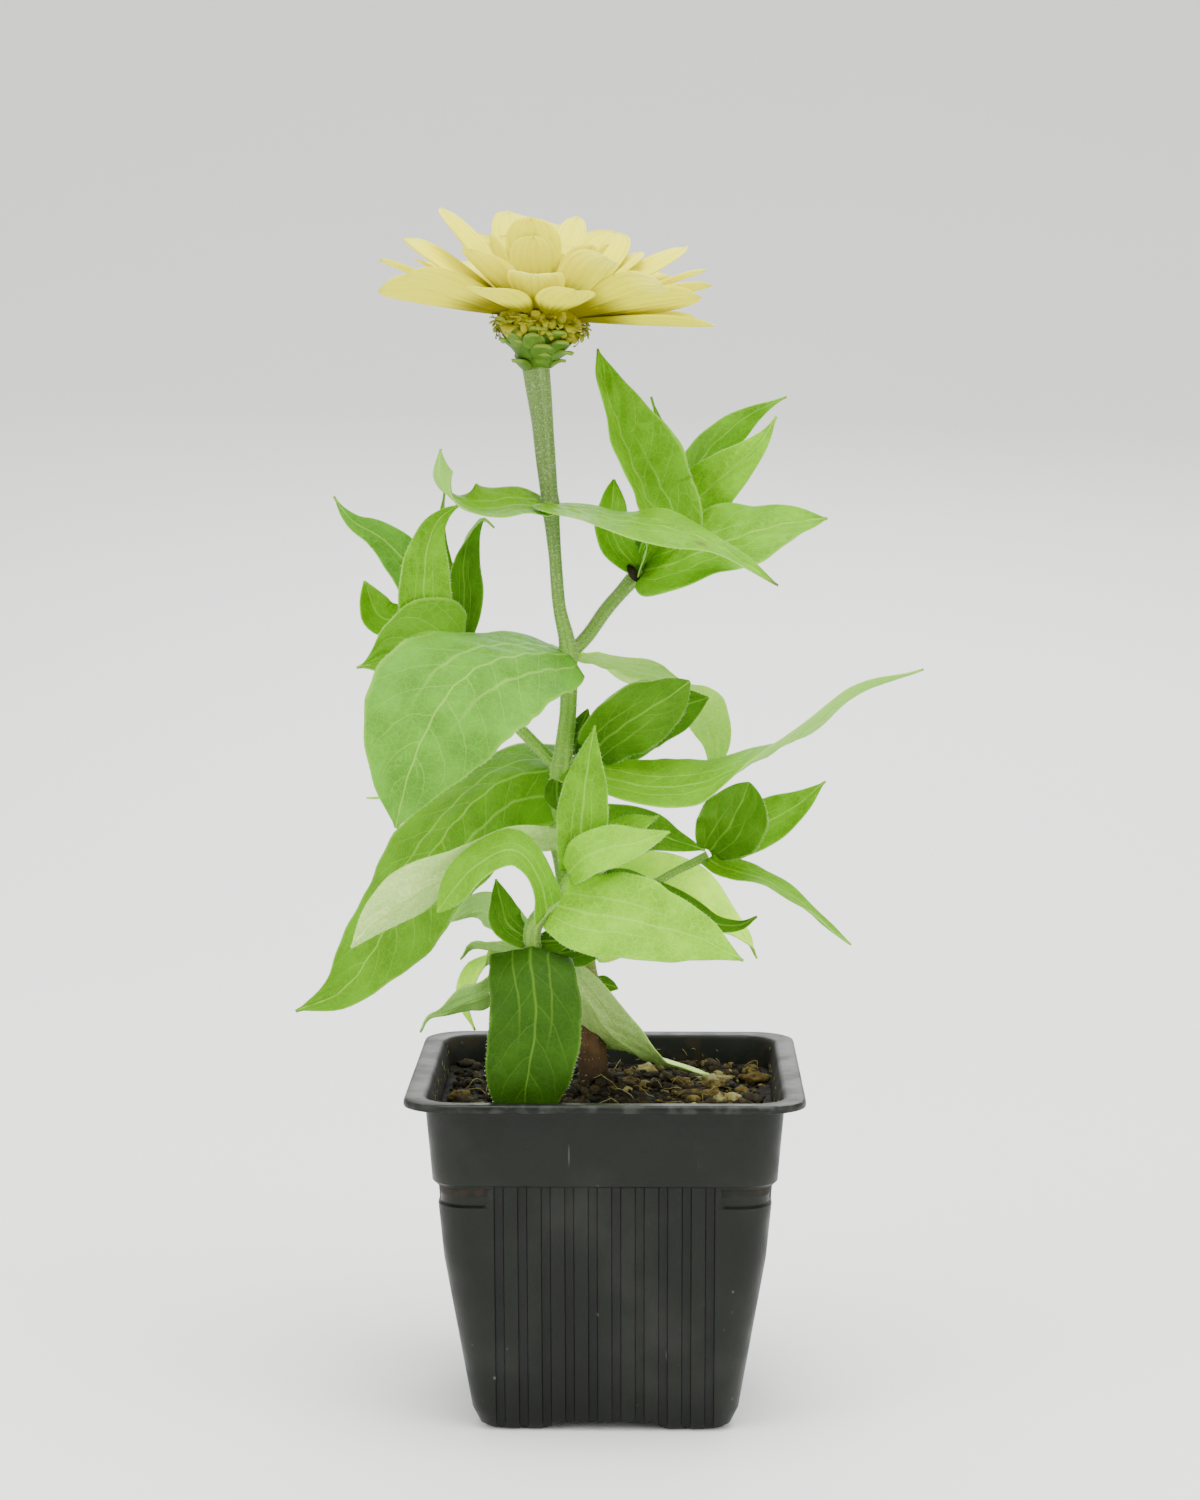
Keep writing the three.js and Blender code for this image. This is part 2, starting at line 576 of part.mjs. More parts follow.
// One groove's cutter: the wall's profile sunk by the groove's depth, as wide as the groove
function grooveCutter() {
  const inner = BODY_PROFILE.filter(({ z }) => z > 0 && z < BAND_BOTTOM);
  const shape = new THREE.Shape();
  shape.moveTo(bodyHalf(1) - GROOVE_DEPTH, -1);
  shape.lineTo(RIM_HALF, -1);
  shape.lineTo(RIM_HALF, BAND_BOTTOM - 0.3);
  shape.lineTo(bodyHalf(BAND_BOTTOM - 0.6) - GROOVE_DEPTH, BAND_BOTTOM - 0.3);
  for (const level of [...inner].reverse()) {
    shape.lineTo(level.half - GROOVE_DEPTH, level.z);
  }
  const geometry = new THREE.ExtrudeGeometry(shape, { depth: GROOVE_WIDTH, bevelEnabled: false });
  geometry.rotateX(Math.PI / 2);
  geometry.translate(0, GROOVE_WIDTH / 2, 0);
  return geometry;
}

function grooves() {
  const cutters = [];
  for (let side = 0; side < 4; side += 1) {
    for (let i = 0; i < GROOVE_COUNT; i += 1) {
      const geometry = grooveCutter();
      geometry.translate(0, (i - (GROOVE_COUNT - 1) / 2) * GROOVE_PITCH, 0);
      geometry.rotateZ((side * Math.PI) / 2);
      cutters.push(toSolid(geometry));
    }
  }
  return joinAll(cutters);
}

// Shallow stacking notches that run round the four corners under the plain band
function cornerNotches() {
  const middle = (NOTCH_TOP + NOTCH_BOTTOM) / 2;
  const outside = box(2 * RIM_HALF, 2 * RIM_HALF, NOTCH_TOP - NOTCH_BOTTOM, 0, 0, middle);
  const core = squareLoft([
    { z: NOTCH_BOTTOM - 1, half: bodyHalf(NOTCH_BOTTOM) - NOTCH_DEPTH, corner: 6.6 },
    { z: NOTCH_TOP + 1, half: bodyHalf(NOTCH_TOP) - NOTCH_DEPTH, corner: 6.6 },
  ]);
  const reach = bodyHalf(NOTCH_BOTTOM) - NOTCH_LENGTH;
  const middleX = box(2 * reach, 3 * RIM_HALF, POT_HEIGHT, 0, 0, POT_HEIGHT / 2);
  const middleY = box(3 * RIM_HALF, 2 * reach, POT_HEIGHT, 0, 0, POT_HEIGHT / 2);
  return outside.subtract(core).subtract(middleX).subtract(middleY);
}

function drainHoles() {
  const places = [[0, 0]];
  for (const x of [-DRAIN_OFFSET, DRAIN_OFFSET]) {
    for (const y of [-DRAIN_OFFSET, DRAIN_OFFSET]) {
      places.push([x, y]);
    }
  }
  return joinAll(
    places.map(([x, y]) => {
      const geometry = new THREE.CylinderGeometry(DRAIN_RADIUS, DRAIN_RADIUS, 4 * FLOOR_TOP, 12);
      geometry.rotateX(Math.PI / 2);
      geometry.translate(x, y, 0);
      return toSolid(geometry);
    }),
  );
}

// The arch between the feet, one cutter that runs right under the pot
function archCutter() {
  const shape = new THREE.Shape();
  shape.moveTo(-ARCH_FOOT / 2, -1);
  shape.lineTo(ARCH_FOOT / 2, -1);
  shape.lineTo(ARCH_FOOT / 2, 0);
  shape.lineTo(ARCH_TOP / 2, FOOT_HEIGHT);
  shape.lineTo(-ARCH_TOP / 2, FOOT_HEIGHT);
  shape.lineTo(-ARCH_FOOT / 2, 0);
  const geometry = new THREE.ExtrudeGeometry(shape, { depth: 2 * RIM_HALF, bevelEnabled: false });
  geometry.rotateX(Math.PI / 2);
  geometry.translate(0, RIM_HALF, 0);
  return geometry;
}

function potSolid() {
  const body = squareLoft(BODY_PROFILE);
  const rimBottom = POT_HEIGHT - RIM_THICKNESS;
  const rim = squareLoft([
    { z: rimBottom, half: RIM_HALF - 0.3, corner: RIM_CORNER - 0.3 },
    { z: rimBottom + 0.5, half: RIM_HALF, corner: RIM_CORNER },
    { z: POT_HEIGHT - 0.5, half: RIM_HALF, corner: RIM_CORNER },
    { z: POT_HEIGHT, half: RIM_HALF - 0.6, corner: RIM_CORNER - 0.6 },
  ]);
  const arch = toSolid(archCutter());
  const crossArch = toSolid(archCutter().rotateZ(Math.PI / 2));
  return body
    .add(rim)
    .subtract(squareLoft(potCavity()))
    .subtract(grooves())
    .subtract(cornerNotches())
    .subtract(arch)
    .subtract(crossArch)
    .subtract(drainHoles());
}

// Soil

function soilLump(x, y, z, size, draws) {
  const geometry = new THREE.IcosahedronGeometry(size, 0);
  geometry.scale(draws.between(0.8, 1.3), draws.between(0.8, 1.3), draws.between(0.6, 0.9));
  geometry.rotateZ(draws.between(0, Math.PI));
  geometry.translate(x, y, z);
  return toSolid(geometry);
}

function soilSolid(stemHole) {
  const draws = new Draws(SEED);
  const levels = potCavity().filter(({ z }) => z < SOIL_TOP);
  const inside = levels.map(({ z, half, corner }) => ({ z, half: half - GAP, corner: corner - 0.2 }));
  inside[0].z += GAP;
  inside.push({ z: SOIL_TOP, half: 38.4, corner: 6.6 });
  let soil = squareLoft(inside);
  const reach = 34;
  for (let i = 0; i < LUMP_COUNT; i += 1) {
    const x = draws.between(-reach, reach);
    const y = draws.between(-reach, reach);
    const size = x > 2 ? draws.between(1.8, 3) : draws.between(1.2, 2);
    soil = soil.add(soilLump(x, y, SOIL_TOP + 0.1 * size, size, draws));
  }
  return soil.subtract(stemHole);
}

// Stems

// A round tube whose radius changes along its path, with flat ends
function tube(stem, extra = 0) {
  const curve = smoothCurve(stem.path);
  const steps = stem.steps || 8;
  const sides = stem.sides || 6;
  const rings = [];
  for (let i = 0; i <= steps; i += 1) {
    const share = i / steps;
    const at = share * (stem.radius.length - 1);
    const low = Math.min(Math.floor(at), stem.radius.length - 2);
    const radius = mix(stem.radius[low], stem.radius[low + 1], at - low) + extra;
    const centre = curve.getPoint(share);
    const ahead = curve.getTangent(share);
    const side = new THREE.Vector3(0, 1, 0).cross(ahead).normalize();
    const up = ahead.clone().cross(side);
    const ring = [];
    for (let k = 0; k < sides; k += 1) {
      const angle = (2 * Math.PI * k) / sides;
      const reach = [radius * Math.cos(angle), radius * Math.sin(angle)];
      ring.push(centre.clone().addScaledVector(side, reach[0]).addScaledVector(up, reach[1]));
    }
    rings.push(ring);
  }
  return toSolid(loft(rings));
}

// Leaves

function widthShare(shape, s) {
  const [base, widest, taper] = shape;
  if (s < widest) {
    return base + (1 - base) * Math.sin(((Math.PI / 2) * s) / widest) ** 0.8;
  }
  return Math.max(Math.cos(((Math.PI / 2) * (s - widest)) / (1 - widest)), 0) ** taper;
}

function vectorAlong(list, s) {
  if (list.length === 1) {
    return new THREE.Vector3(...list[0]);
  }
  const at = s * (list.length - 1);
  const low = Math.min(Math.floor(at), list.length - 2);
  return new THREE.Vector3(...list[low]).lerp(new THREE.Vector3(...list[low + 1]), at - low);
}

// Middle surface of a blade as a grid of points, stations along the rib by places across it
function bladeGrid(leaf, stations, strips, extra = 0) {
  const curve = smoothCurve(leaf.rib);
  const grid = [];
  for (let i = 0; i <= stations; i += 1) {
    const s = i / stations;
    const centre = curve.getPointAt(s);
    const ahead = curve.getTangentAt(s);
    const across = vectorAlong(leaf.across, s);
    across.addScaledVector(ahead, -across.dot(ahead)).normalize();
    const face = across.clone().cross(ahead);
    const half = Math.max(leaf.half * widthShare(leaf.shape, s), TIP_HALF) + extra;
    const fold = radians(mix(leaf.fold[0], leaf.fold[1], s));
    const row = [];
    for (let j = 0; j <= strips; j += 1) {
      const u = (2 * j) / strips - 1;
      row.push(
        centre
          .clone()
          .addScaledVector(across, u * half * Math.cos(fold))
          .addScaledVector(face, Math.abs(u) * half * Math.sin(fold)),
      );
    }
    grid.push(row);
  }
  return grid;
}

// Closed slab round a grid of points, with the same diagonals on both faces
function slab(grid, thickness) {
  const rows = grid.length;
  const columns = grid[0].length;
  const normalAt = (i, j) => {
    const along = grid[Math.min(i + 1, rows - 1)][j].clone().sub(grid[Math.max(i - 1, 0)][j]);
    const over = grid[i][Math.min(j + 1, columns - 1)].clone().sub(grid[i][Math.max(j - 1, 0)]);
    return over.cross(along).normalize();
  };
  const upper = [];
  const lower = [];
  for (let i = 0; i < rows; i += 1) {
    for (let j = 0; j < columns; j += 1) {
      const normal = normalAt(i, j);
      upper.push(grid[i][j].clone().addScaledVector(normal, thickness / 2));
      lower.push(grid[i][j].clone().addScaledVector(normal, -thickness / 2));
    }
  }
  const below = upper.length;
  const faces = [];
  const at = (i, j) => i * columns + j;
  for (let i = 0; i < rows - 1; i += 1) {
    for (let j = 0; j < columns - 1; j += 1) {
      const [a, b, c, d] = [at(i, j), at(i, j + 1), at(i + 1, j + 1), at(i + 1, j)];
      faces.push(a, b, c, a, c, d);
      faces.push(below + a, below + c, below + b, below + a, below + d, below + c);
    }
  }
  const wall = (a, b) => faces.push(b, a, below + a, b, below + a, below + b);
  for (let j = 0; j < columns - 1; j += 1) {
    wall(at(0, j), at(0, j + 1));
    wall(at(rows - 1, j + 1), at(rows - 1, j));
  }
  for (let i = 0; i < rows - 1; i += 1) {
    wall(at(i, columns - 1), at(i + 1, columns - 1));
    wall(at(i + 1, 0), at(i, 0));
  }
  const geometry = new THREE.BufferGeometry().setFromPoints([...upper, ...lower]);
  geometry.setIndex(faces);
  return geometry;
}

function leafSolid(leaf, stations, strips) {
  return toSolid(slab(bladeGrid(leaf, stations, strips), BLADE));
}

// A leaf with the gap that its neighbours keep from it on every side
function leafRoom(leaf, stations, strips) {
  return toSolid(slab(bladeGrid(leaf, stations, strips, GAP), BLADE + 2 * GAP));
}

// Bloom, in its own frame with the origin on top of the stem

// Middle surface of a ray petal that leaves the head at a height, a radius and an angle
function petalGrid(petal, stations, strips) {
  const up = new THREE.Vector3(0, 0, 1);
  const roll = radians(petal.roll);
  const grid = [];
  let reach = petal.root;
  let height = petal.height;
  for (let i = 0; i <= stations; i += 1) {
    const s = i / stations;
    const slope = radians(petal.rise + petal.curl * s + petal.hook * Math.max(0, (s - 0.65) / 0.35));
    const face = new THREE.Vector3(-Math.sin(slope), 0, Math.cos(slope));
    const side = new THREE.Vector3(0, 1, 0);
    const across = side.clone().multiplyScalar(Math.cos(roll)).addScaledVector(face, Math.sin(roll));
    const out = face.clone().multiplyScalar(Math.cos(roll)).addScaledVector(side, -Math.sin(roll));
    const half = petal.half * petalWidth(s);
    const row = [];
    for (let j = 0; j <= strips; j += 1) {
      const u = 1 - (2 * j) / strips;
      const place = new THREE.Vector3(reach, 0, height)
        .addScaledVector(across, u * half)
        .addScaledVector(out, petal.cup * half * u * u);
      row.push(place.applyAxisAngle(up, radians(petal.turn)));
    }
    grid.push(row);
    reach += (petal.length / stations) * Math.cos(slope);
    height += (petal.length / stations) * Math.sin(slope);
  }
  return grid;
}

// Share of a petal's half width: a narrow claw, widest past the middle, with a round tip
function petalWidth(s) {
  const widest = 0.66;
  if (s < widest) {
    return 0.16 + 0.84 * Math.sin(((Math.PI / 2) * s) / widest);
  }
  return Math.max(Math.sqrt(1 - ((s - widest) / (1 - widest)) ** 2), 0.35);
}

// How far out and how high a petal of a slope leaves the head
function petalRoot(rise) {
  const share = rise / 90;
  return { root: mix(7.6, 3.6, share), height: mix(11.4, 15.5, share) };
}

// Every ray petal of the bloom, with small seeded differences in the rings
function petalList() {
  const draws = new Draws(SEED + 9);
  const petals = OUTLINE_PETALS.map((petal) => ({ ...petal, cup: 0.18, ...petalRoot(petal.rise) }));
  for (const ring of PETAL_RINGS) {
    for (let i = 0; i < ring.count; i += 1) {
      const rise = ring.rise + draws.between(-4, 4);
      petals.push({
        turn: mix(ring.from, ring.to, i / (ring.count - 1)) + draws.between(-4, 4),
        rise,
        curl: draws.between(-4, 4),
        hook: draws.between(-10, 4),
        length: ring.length * draws.between(0.92, 1.04),
        half: ring.half * draws.between(0.9, 1.05),
        roll: draws.between(-8, 8),
        cup: draws.between(0.12, 0.25),
        ...petalRoot(rise),
      });
    }
  }
  return petals;
}

function lathe(profile, sides) {
  const points = profile.map(([x, y]) => new THREE.Vector2(x, y));
  const geometry = new THREE.LatheGeometry(points, sides);
  geometry.rotateX(Math.PI / 2);
  return toSolid(geometry);
}

function petalsSolid() {
  const heart = lathe([[0, 11], [8.6, 11], [9.2, 12.4], [7.6, 15], [4.4, 17], [0, 17]], 12);
  const petals = petalList().map((petal) => toSolid(slab(petalGrid(petal, PETAL_ROWS, 2), PETAL)));
  return heart.add(joinAll(petals));
}

// Green cup of overlapping bracts under the petals
function involucreSolid() {
  const draws = new Draws(SEED + 3);
  let cup = lathe([[0, 0.3], [3.1, 0.3], [4.2, 2], [6.6, 5], [8.4, 8], [8.8, 10.6], [0, 10.6]], 12);
  const rows = [
    { z: 2.6, radius: 4.6, count: 5, size: 3.1 },
    { z: 5.2, radius: 6.6, count: 6, size: 3.3 },
    { z: 7.8, radius: 8.1, count: 8, size: 3 },
  ];
  rows.forEach((row, level) => {
    for (let i = 0; i < row.count; i += 1) {
      const scale = new THREE.IcosahedronGeometry(row.size, 0);
      scale.scale(0.36, 0.85, 1);
      scale.rotateY(radians(38));
      scale.translate(row.radius, 0, row.z + draws.between(-0.3, 0.3));
      scale.rotateZ(radians((360 * (i + 0.5 * level)) / row.count));
      cup = cup.add(toSolid(scale));
    }
  });
  const ceiling = box(60, 60, 10, 0, 0, 10.6 + 5);
  return cup.subtract(ceiling);
}

// Small dome of florets in the middle of the petals
function discSolid() {
  const draws = new Draws(SEED + 5);
  let dome = lathe([[0, 17.35], [3.6, 17.35], [3.4, 18], [2.4, 19.2], [0, 19.8]], 12);
  const golden = 137.508;
  for (let i = 1; i < FLORET_COUNT; i += 1) {
    const reach = 0.78 * Math.sqrt(i);
    const floret = new THREE.CylinderGeometry(0.35, 0.55, 1.8, 4);
    floret.rotateX(Math.PI / 2);
    floret.translate(reach, 0, 19.6 - 0.17 * reach * reach + draws.between(-0.2, 0.2));
    floret.rotateZ(radians(golden * i));
    dome = dome.add(toSolid(floret));
  }
  return dome;
}

// Assembly

const zinnia = new THREE.Group();

function addPiece(name, solid, material, parent = zinnia) {
  const mesh = new THREE.Mesh(toGeometry(solid), material);
  mesh.name = name;
  parent.add(mesh);
}

// Rows along and strips across a blade, more on a large leaf
function bladeRows(leaf) {
  return leaf.half > BIG_LEAF ? [8, 4] : [6, 2];
}

function addStems() {
  const mainStemRoom = tube(MAIN_STEM, GAP);
  const foot = MAIN_STEM.path[0];
  const holePath = [[foot[0], foot[1], foot[2] - GAP], ...MAIN_STEM.path.slice(1)];
  addPiece("soil", soilSolid(tube({ ...MAIN_STEM, path: holePath }, GAP)), PEAT);
  for (const stem of [MAIN_STEM, ...SHOOT_STEMS]) {
    const leaflets = (LEAFLETS[stem.name] || []).map((leaflet) => leafSolid(leaflet, 5, 2));
    const whole = joinAll([tube(stem), ...leaflets]);
    addPiece(stem.name, stem === MAIN_STEM ? whole : largestPiece(whole.subtract(mainStemRoom)), STEM_GREEN);
  }
}

// Leaves in turn, each cut clear of the stems, the leaflets and the leaves before it
function addLeaves() {
  const rooms = [];
  for (const stem of [MAIN_STEM, ...SHOOT_STEMS]) {
    rooms.push(tube(stem, GAP));
    for (const leaflet of LEAFLETS[stem.name] || []) {
      rooms.push(leafRoom(leaflet, 5, 2));
    }
  }
  for (const leaf of LEAVES) {
    const rows = bladeRows(leaf);
    const whole = leafSolid(leaf, ...rows);
    const clear = rooms.reduce((solid, room) => solid.subtract(room), whole);
    const light = leaf.name.startsWith("front_shoot") || leaf.name.startsWith("lower");
    addPiece(leaf.name, largestPiece(clear), light ? LIGHT_GREEN : GREEN);
    rooms.push(leafRoom(leaf, ...rows));
  }
}

addPiece("pot", potSolid(), BLACK_PLASTIC);
addStems();
addLeaves();

const head = new THREE.Group();
head.position.set(...HEAD_BASE);
head.rotation.y = radians(HEAD_TILT);
zinnia.add(head);
addPiece("involucre", involucreSolid(), BRACT_GREEN, head);
addPiece("ray_petals", petalsSolid(), YELLOW, head);
addPiece("flower_disc", discSolid(), DISC_GOLD, head);

export default zinnia;
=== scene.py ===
import math

import bmesh
import bpy
import numpy as np
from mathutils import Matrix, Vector, noise


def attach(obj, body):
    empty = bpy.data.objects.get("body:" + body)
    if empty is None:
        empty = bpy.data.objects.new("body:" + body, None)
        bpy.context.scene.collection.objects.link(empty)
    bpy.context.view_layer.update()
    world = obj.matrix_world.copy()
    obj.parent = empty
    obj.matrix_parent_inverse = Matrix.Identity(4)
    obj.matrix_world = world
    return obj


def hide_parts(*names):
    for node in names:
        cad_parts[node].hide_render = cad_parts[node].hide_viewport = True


# Potted zinnia: the looks of its leaves, stems, bloom, soil and pot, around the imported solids.
# The tables repeat the forms of the solids in millimetres, +Z up, -Y to the front.

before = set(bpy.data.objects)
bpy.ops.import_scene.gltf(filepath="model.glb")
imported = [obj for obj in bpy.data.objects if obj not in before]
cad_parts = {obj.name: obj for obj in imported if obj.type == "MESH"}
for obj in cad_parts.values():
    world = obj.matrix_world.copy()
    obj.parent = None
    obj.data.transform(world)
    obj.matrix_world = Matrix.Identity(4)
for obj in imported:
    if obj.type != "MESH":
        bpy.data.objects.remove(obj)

bl_info = {
    "name": "Potted zinnia",
    "version": (1, 0, 0),
    "blender": (4, 5, 0),
    "location": "View3D > Sidebar > Zinnia",
    "description": "Builds the fine leaves, bloom, soil and pot of a potted zinnia",
    "category": "Add Mesh",
}

MM = 0.001
SEED = 20260
LARGEST = 2147483647

# Pot and soil
POT_HEIGHT = 78.5
POT_WALL = 1.2
RIM_HALF = 45
BAND_BOTTOM = 59
FLOOR_TOP = 3.8
FOOT_HEIGHT = 2.2
ARCH_FOOT = 28
ARCH_TOP = 21
GROOVE_COUNT = 10
GROOVE_PITCH = 5.25
GROOVE_WIDTH = 2
NOTCH_LENGTH = 6
NOTCH_BLEND = 8
NOTCH_DEPTH = 0.75
DRAIN_RADIUS = 3.5
DRAIN_OFFSET = 14
DRAIN_SIDES = 24
SOIL_TOP = 71.5
SOIL_FLAT = 30.5
SOIL_CORNER = 7
STEM_FOOT = 60

# Bloom
HEAD_BASE = np.array([-16.2, 0, 240.4])
HEAD_TILT = 4.5
TIP_HALF = 0.3
PETAL_FULLNESS = 1.14
CURLED_HOOK = -25

# Ends of a dried bud scale where the right shoot forks
DRY_SCALE = np.array([[4.7, 10.0, 195.0], [7.3, 10.3, 190.9]])

# Half width and corner radius of the pot's outside at each height
BODY_PROFILE = [
    (0, 27.2, 5), (1, 28.7, 5.6), (4.7, 30.4, 6.5), (41, 36.4, 7), (BAND_BOTTOM - 0.6, 38, 7),
    (BAND_BOTTOM, 38.8, 7.4), (POT_HEIGHT - 1.2, 40.4, 8),
]

# Heights of the grooved wall's levels, of the notches, of the band and of the inner wall
WALL_LEVELS = (2.4, 4.7, 9, 14, 20, 26, 32, 38, 41, 46, 50, 53.6)
NOTCH_LEVELS = (54.1, 55.4, 56.8, 57.9)
BAND_LEVELS = (62, 66, 70, 74, 76.4)
INNER_LEVELS = (73, 70, 66, 60, 50, 40, 25, 10, FLOOR_TOP + 1)

# Half width, corner radius and height: the step under the band, and the rolled lip
BAND_STEP = [(38.15, 7.1, 58.6), (38.6, 7.3, 58.85), (38.85, 7.4, 59.2)]
LIP = [
    (40.7, 8.1, 76.8), (43.6, 9.4, 76.75), (44.5, 9.8, 76.6), (44.9, 9.9, 76.75), (45, 10, 77.2),
    (44.95, 10, 77.8), (44.7, 9.8, 78.3), (44.2, 9.5, 78.5), (42.4, 8.8, 78.35), (40.9, 8.2, 78.3),
    (40.3, 8, 78.0), (39.9, 7.8, 77.2), (39.4, 7.6, 75.5),
]

# A groove's section: place over its half width, share of its depth, and how much painted shade it gets
GROOVE_SECTION = [
    (-1.12, 0, 0.1), (-0.94, 0.75, 0.9), (-0.8, 1, 0.6), (0, 1, 0.45), (0.8, 1, 0.6), (0.94, 0.75, 0.9),
    (1.12, 0, 0.1),
]

# Profiles of the bloom, as radius and height over the head's base
CUP = [(0.05, 10.6), (8.3, 10.6), (7.9, 8), (6.3, 5), (4.2, 2), (3.1, 0.3), (0.05, 0.3)]
CORE = [(0.05, 17), (4.4, 17), (7.6, 15), (9.2, 12.4), (8.6, 11), (0.05, 11)]
DISC = [(0.05, 19.6), (1.4, 19.4), (2.6, 18.8), (3.4, 17.9), (3.6, 17.35), (0.05, 17.35)]

# Rows of bracts: radius and height of their feet, count, length and half width
BRACT_ROWS = [
    (3.2, 0.5, 5, 4.6, 2.3), (4.6, 2.3, 7, 5.2, 2.6), (6.2, 4.6, 8, 5.0, 2.6), (7.5, 6.8, 10, 4.0, 2.3),
]
BRACT_THICKNESS = 0.75
CURL_THICKNESS = 0.35
CURL_COUNT = 72
REMNANT_COUNT = 96
THREAD_COUNT = 22
FLORET_COUNT = 70
GOLDEN_ANGLE = 137.508

# Lumps of compost: count, smallest and largest radius, mesh fineness, share of golden ones
LUMPS = [(40, 1.7, 2.5, 3, 0.75), (480, 0.8, 1.7, 2, 0.32), (1900, 0.3, 0.8, 1, 0.4)]
FOOT_LUMPS = 70
SOIL_FIBRES = 60
WALL_FIBRES = 90

# Rows and columns of a blade's mesh, and the half width from which it is large
LARGE_GRID = (52, 24)
SMALL_GRID = (34, 16)
LEAFLET_GRID = (20, 10)
PETAL_GRID = (22, 28)
LARGE_LEAF = 6

# Side veins: how they curve, how far they sweep forward, and how far one side is ahead, in steps
VEIN_CURVE = 1.35
VEIN_SWEEP = 2.1
VEIN_LEAD = 0.45

# Millimetres in one unit of the metric surface map
MAP_UNIT = 100

# Stems: ridges round them, heights of the main stem's nodes, mesh fineness and count of hairs
STEM_RIDGES = 7
STEM_NODES = (209, 175, 148, 131, 109, 97)
MAIN_STEPS = 150
SHOOT_STEPS = 40
MAIN_SIDES = 28
SHOOT_SIDES = 18
RIDGE_DEPTH = 0.035
MAIN_HAIRS = 2600
SHOOT_HAIRS = 620
MARGIN_HAIRS = 4
HAIR_RADIUS = 0.035

# Studio: name, place, size and share of the key light of each lamp
LAMPS = [
    ("top", (0.1, -0.25, 1.5), 1.1, 2.3), ("left", (-1.2, -0.9, 0.7), 1.0, 1.1),
    ("right", (1.2, -0.9, 0.6), 1.0, 0.9), ("back", (0.1, 1.2, 1.0), 1.2, 1.1),
]
LAMP_AIM = (0, 0, 0.15)
SURROUND = 1.08
FLOOR_HALF = 6
BACKDROP_START = 0.7
BACKDROP_BEND = 2.6
BACKDROP_TOP = 5
CAMERA_PLACE = (0.0117, -0.7796, 0.2333)
CAMERA_LENS = 81.36
CAMERA_DOWN = 5.90
CAMERA_TURN = 0.98

# Shapes of a blade: width at its base as a share, place of the widest, taper of the tip
LANCE = (0.55, 0.4, 1.15)
OVATE = (0.6, 0.35, 1)
SLIM = (0.5, 0.35, 1.3)
SMALL = (0.45, 0.5, 0.8)

# Stems: name, centre line and radius along it
STEM_FIELDS = ("name", "path", "radius")
MAIN_STEM = {
    "name": "main_stem",
    "path": [(-2, 1, STEM_FOOT), (-3.5, 1, 82), (-5, 1, 96.5), (-7, 0, 110.5), (-9.5, 0, 124.5),
        (-11, 0, 136), (-10.5, 0, 148.5), (-9, 0, 162), (-9, 0, 176), (-11, 0, 186), (-12, 0, 198),
        (-13, 0, 209), (-14, 0, 219), (-15, 0, 230), (-16.2, 0, 240)],
    "radius": (3.7, 3.4, 3.4, 3, 2.6, 2.4, 2.3, 1.9, 1.9, 1.5, 1.5, 1.9, 2.2, 2.6, 3.1),
}
SHOOT_STEMS = [dict(zip(STEM_FIELDS, row)) for row in (
    ("right_shoot_stem",
     [(-8.5, 0, 175), (-4.5, 5, 179), (-0.5, 9, 184.5), (3, 11, 188.5), (7.5, 13, 193.5)],
     (1.5, 1.6, 1.6, 1.6, 1.9)),
    ("left_shoot_stem",
     [(-10.5, 1, 147.5), (-15.5, 3, 152.5), (-21.5, 4, 158.5), (-28, 4, 165.5), (-36, 4, 173.5)],
     (1.4, 1.4, 1.4, 1.4, 1.6)),
    ("front_shoot_stem",
     [(-5, 0, 97.5), (-10.5, -9, 102.5), (-16, -18, 108.5), (-16.5, -20, 114), (-14, -20, 118),
      (-10.5, -18.5, 121), (-7.5, -17.5, 126)],
     (1.8, 1.9, 2, 2, 1.9, 1.7, 1.6)),
    ("low_shoot_stem",
     [(-7, 1, 109), (0.5, 6, 114.5), (7.5, 8, 119), (12, 9, 121), (16.5, 9, 123.5), (23.5, 9, 127)],
     (1.2, 1, 1, 0.9, 0.9, 1.1)),
    ("middle_shoot_stem",
     [(-9.5, 0, 149), (-6, -1.5, 151), (-3, -2, 152.5)],
     (1.2, 1.2, 1.3)),
)]

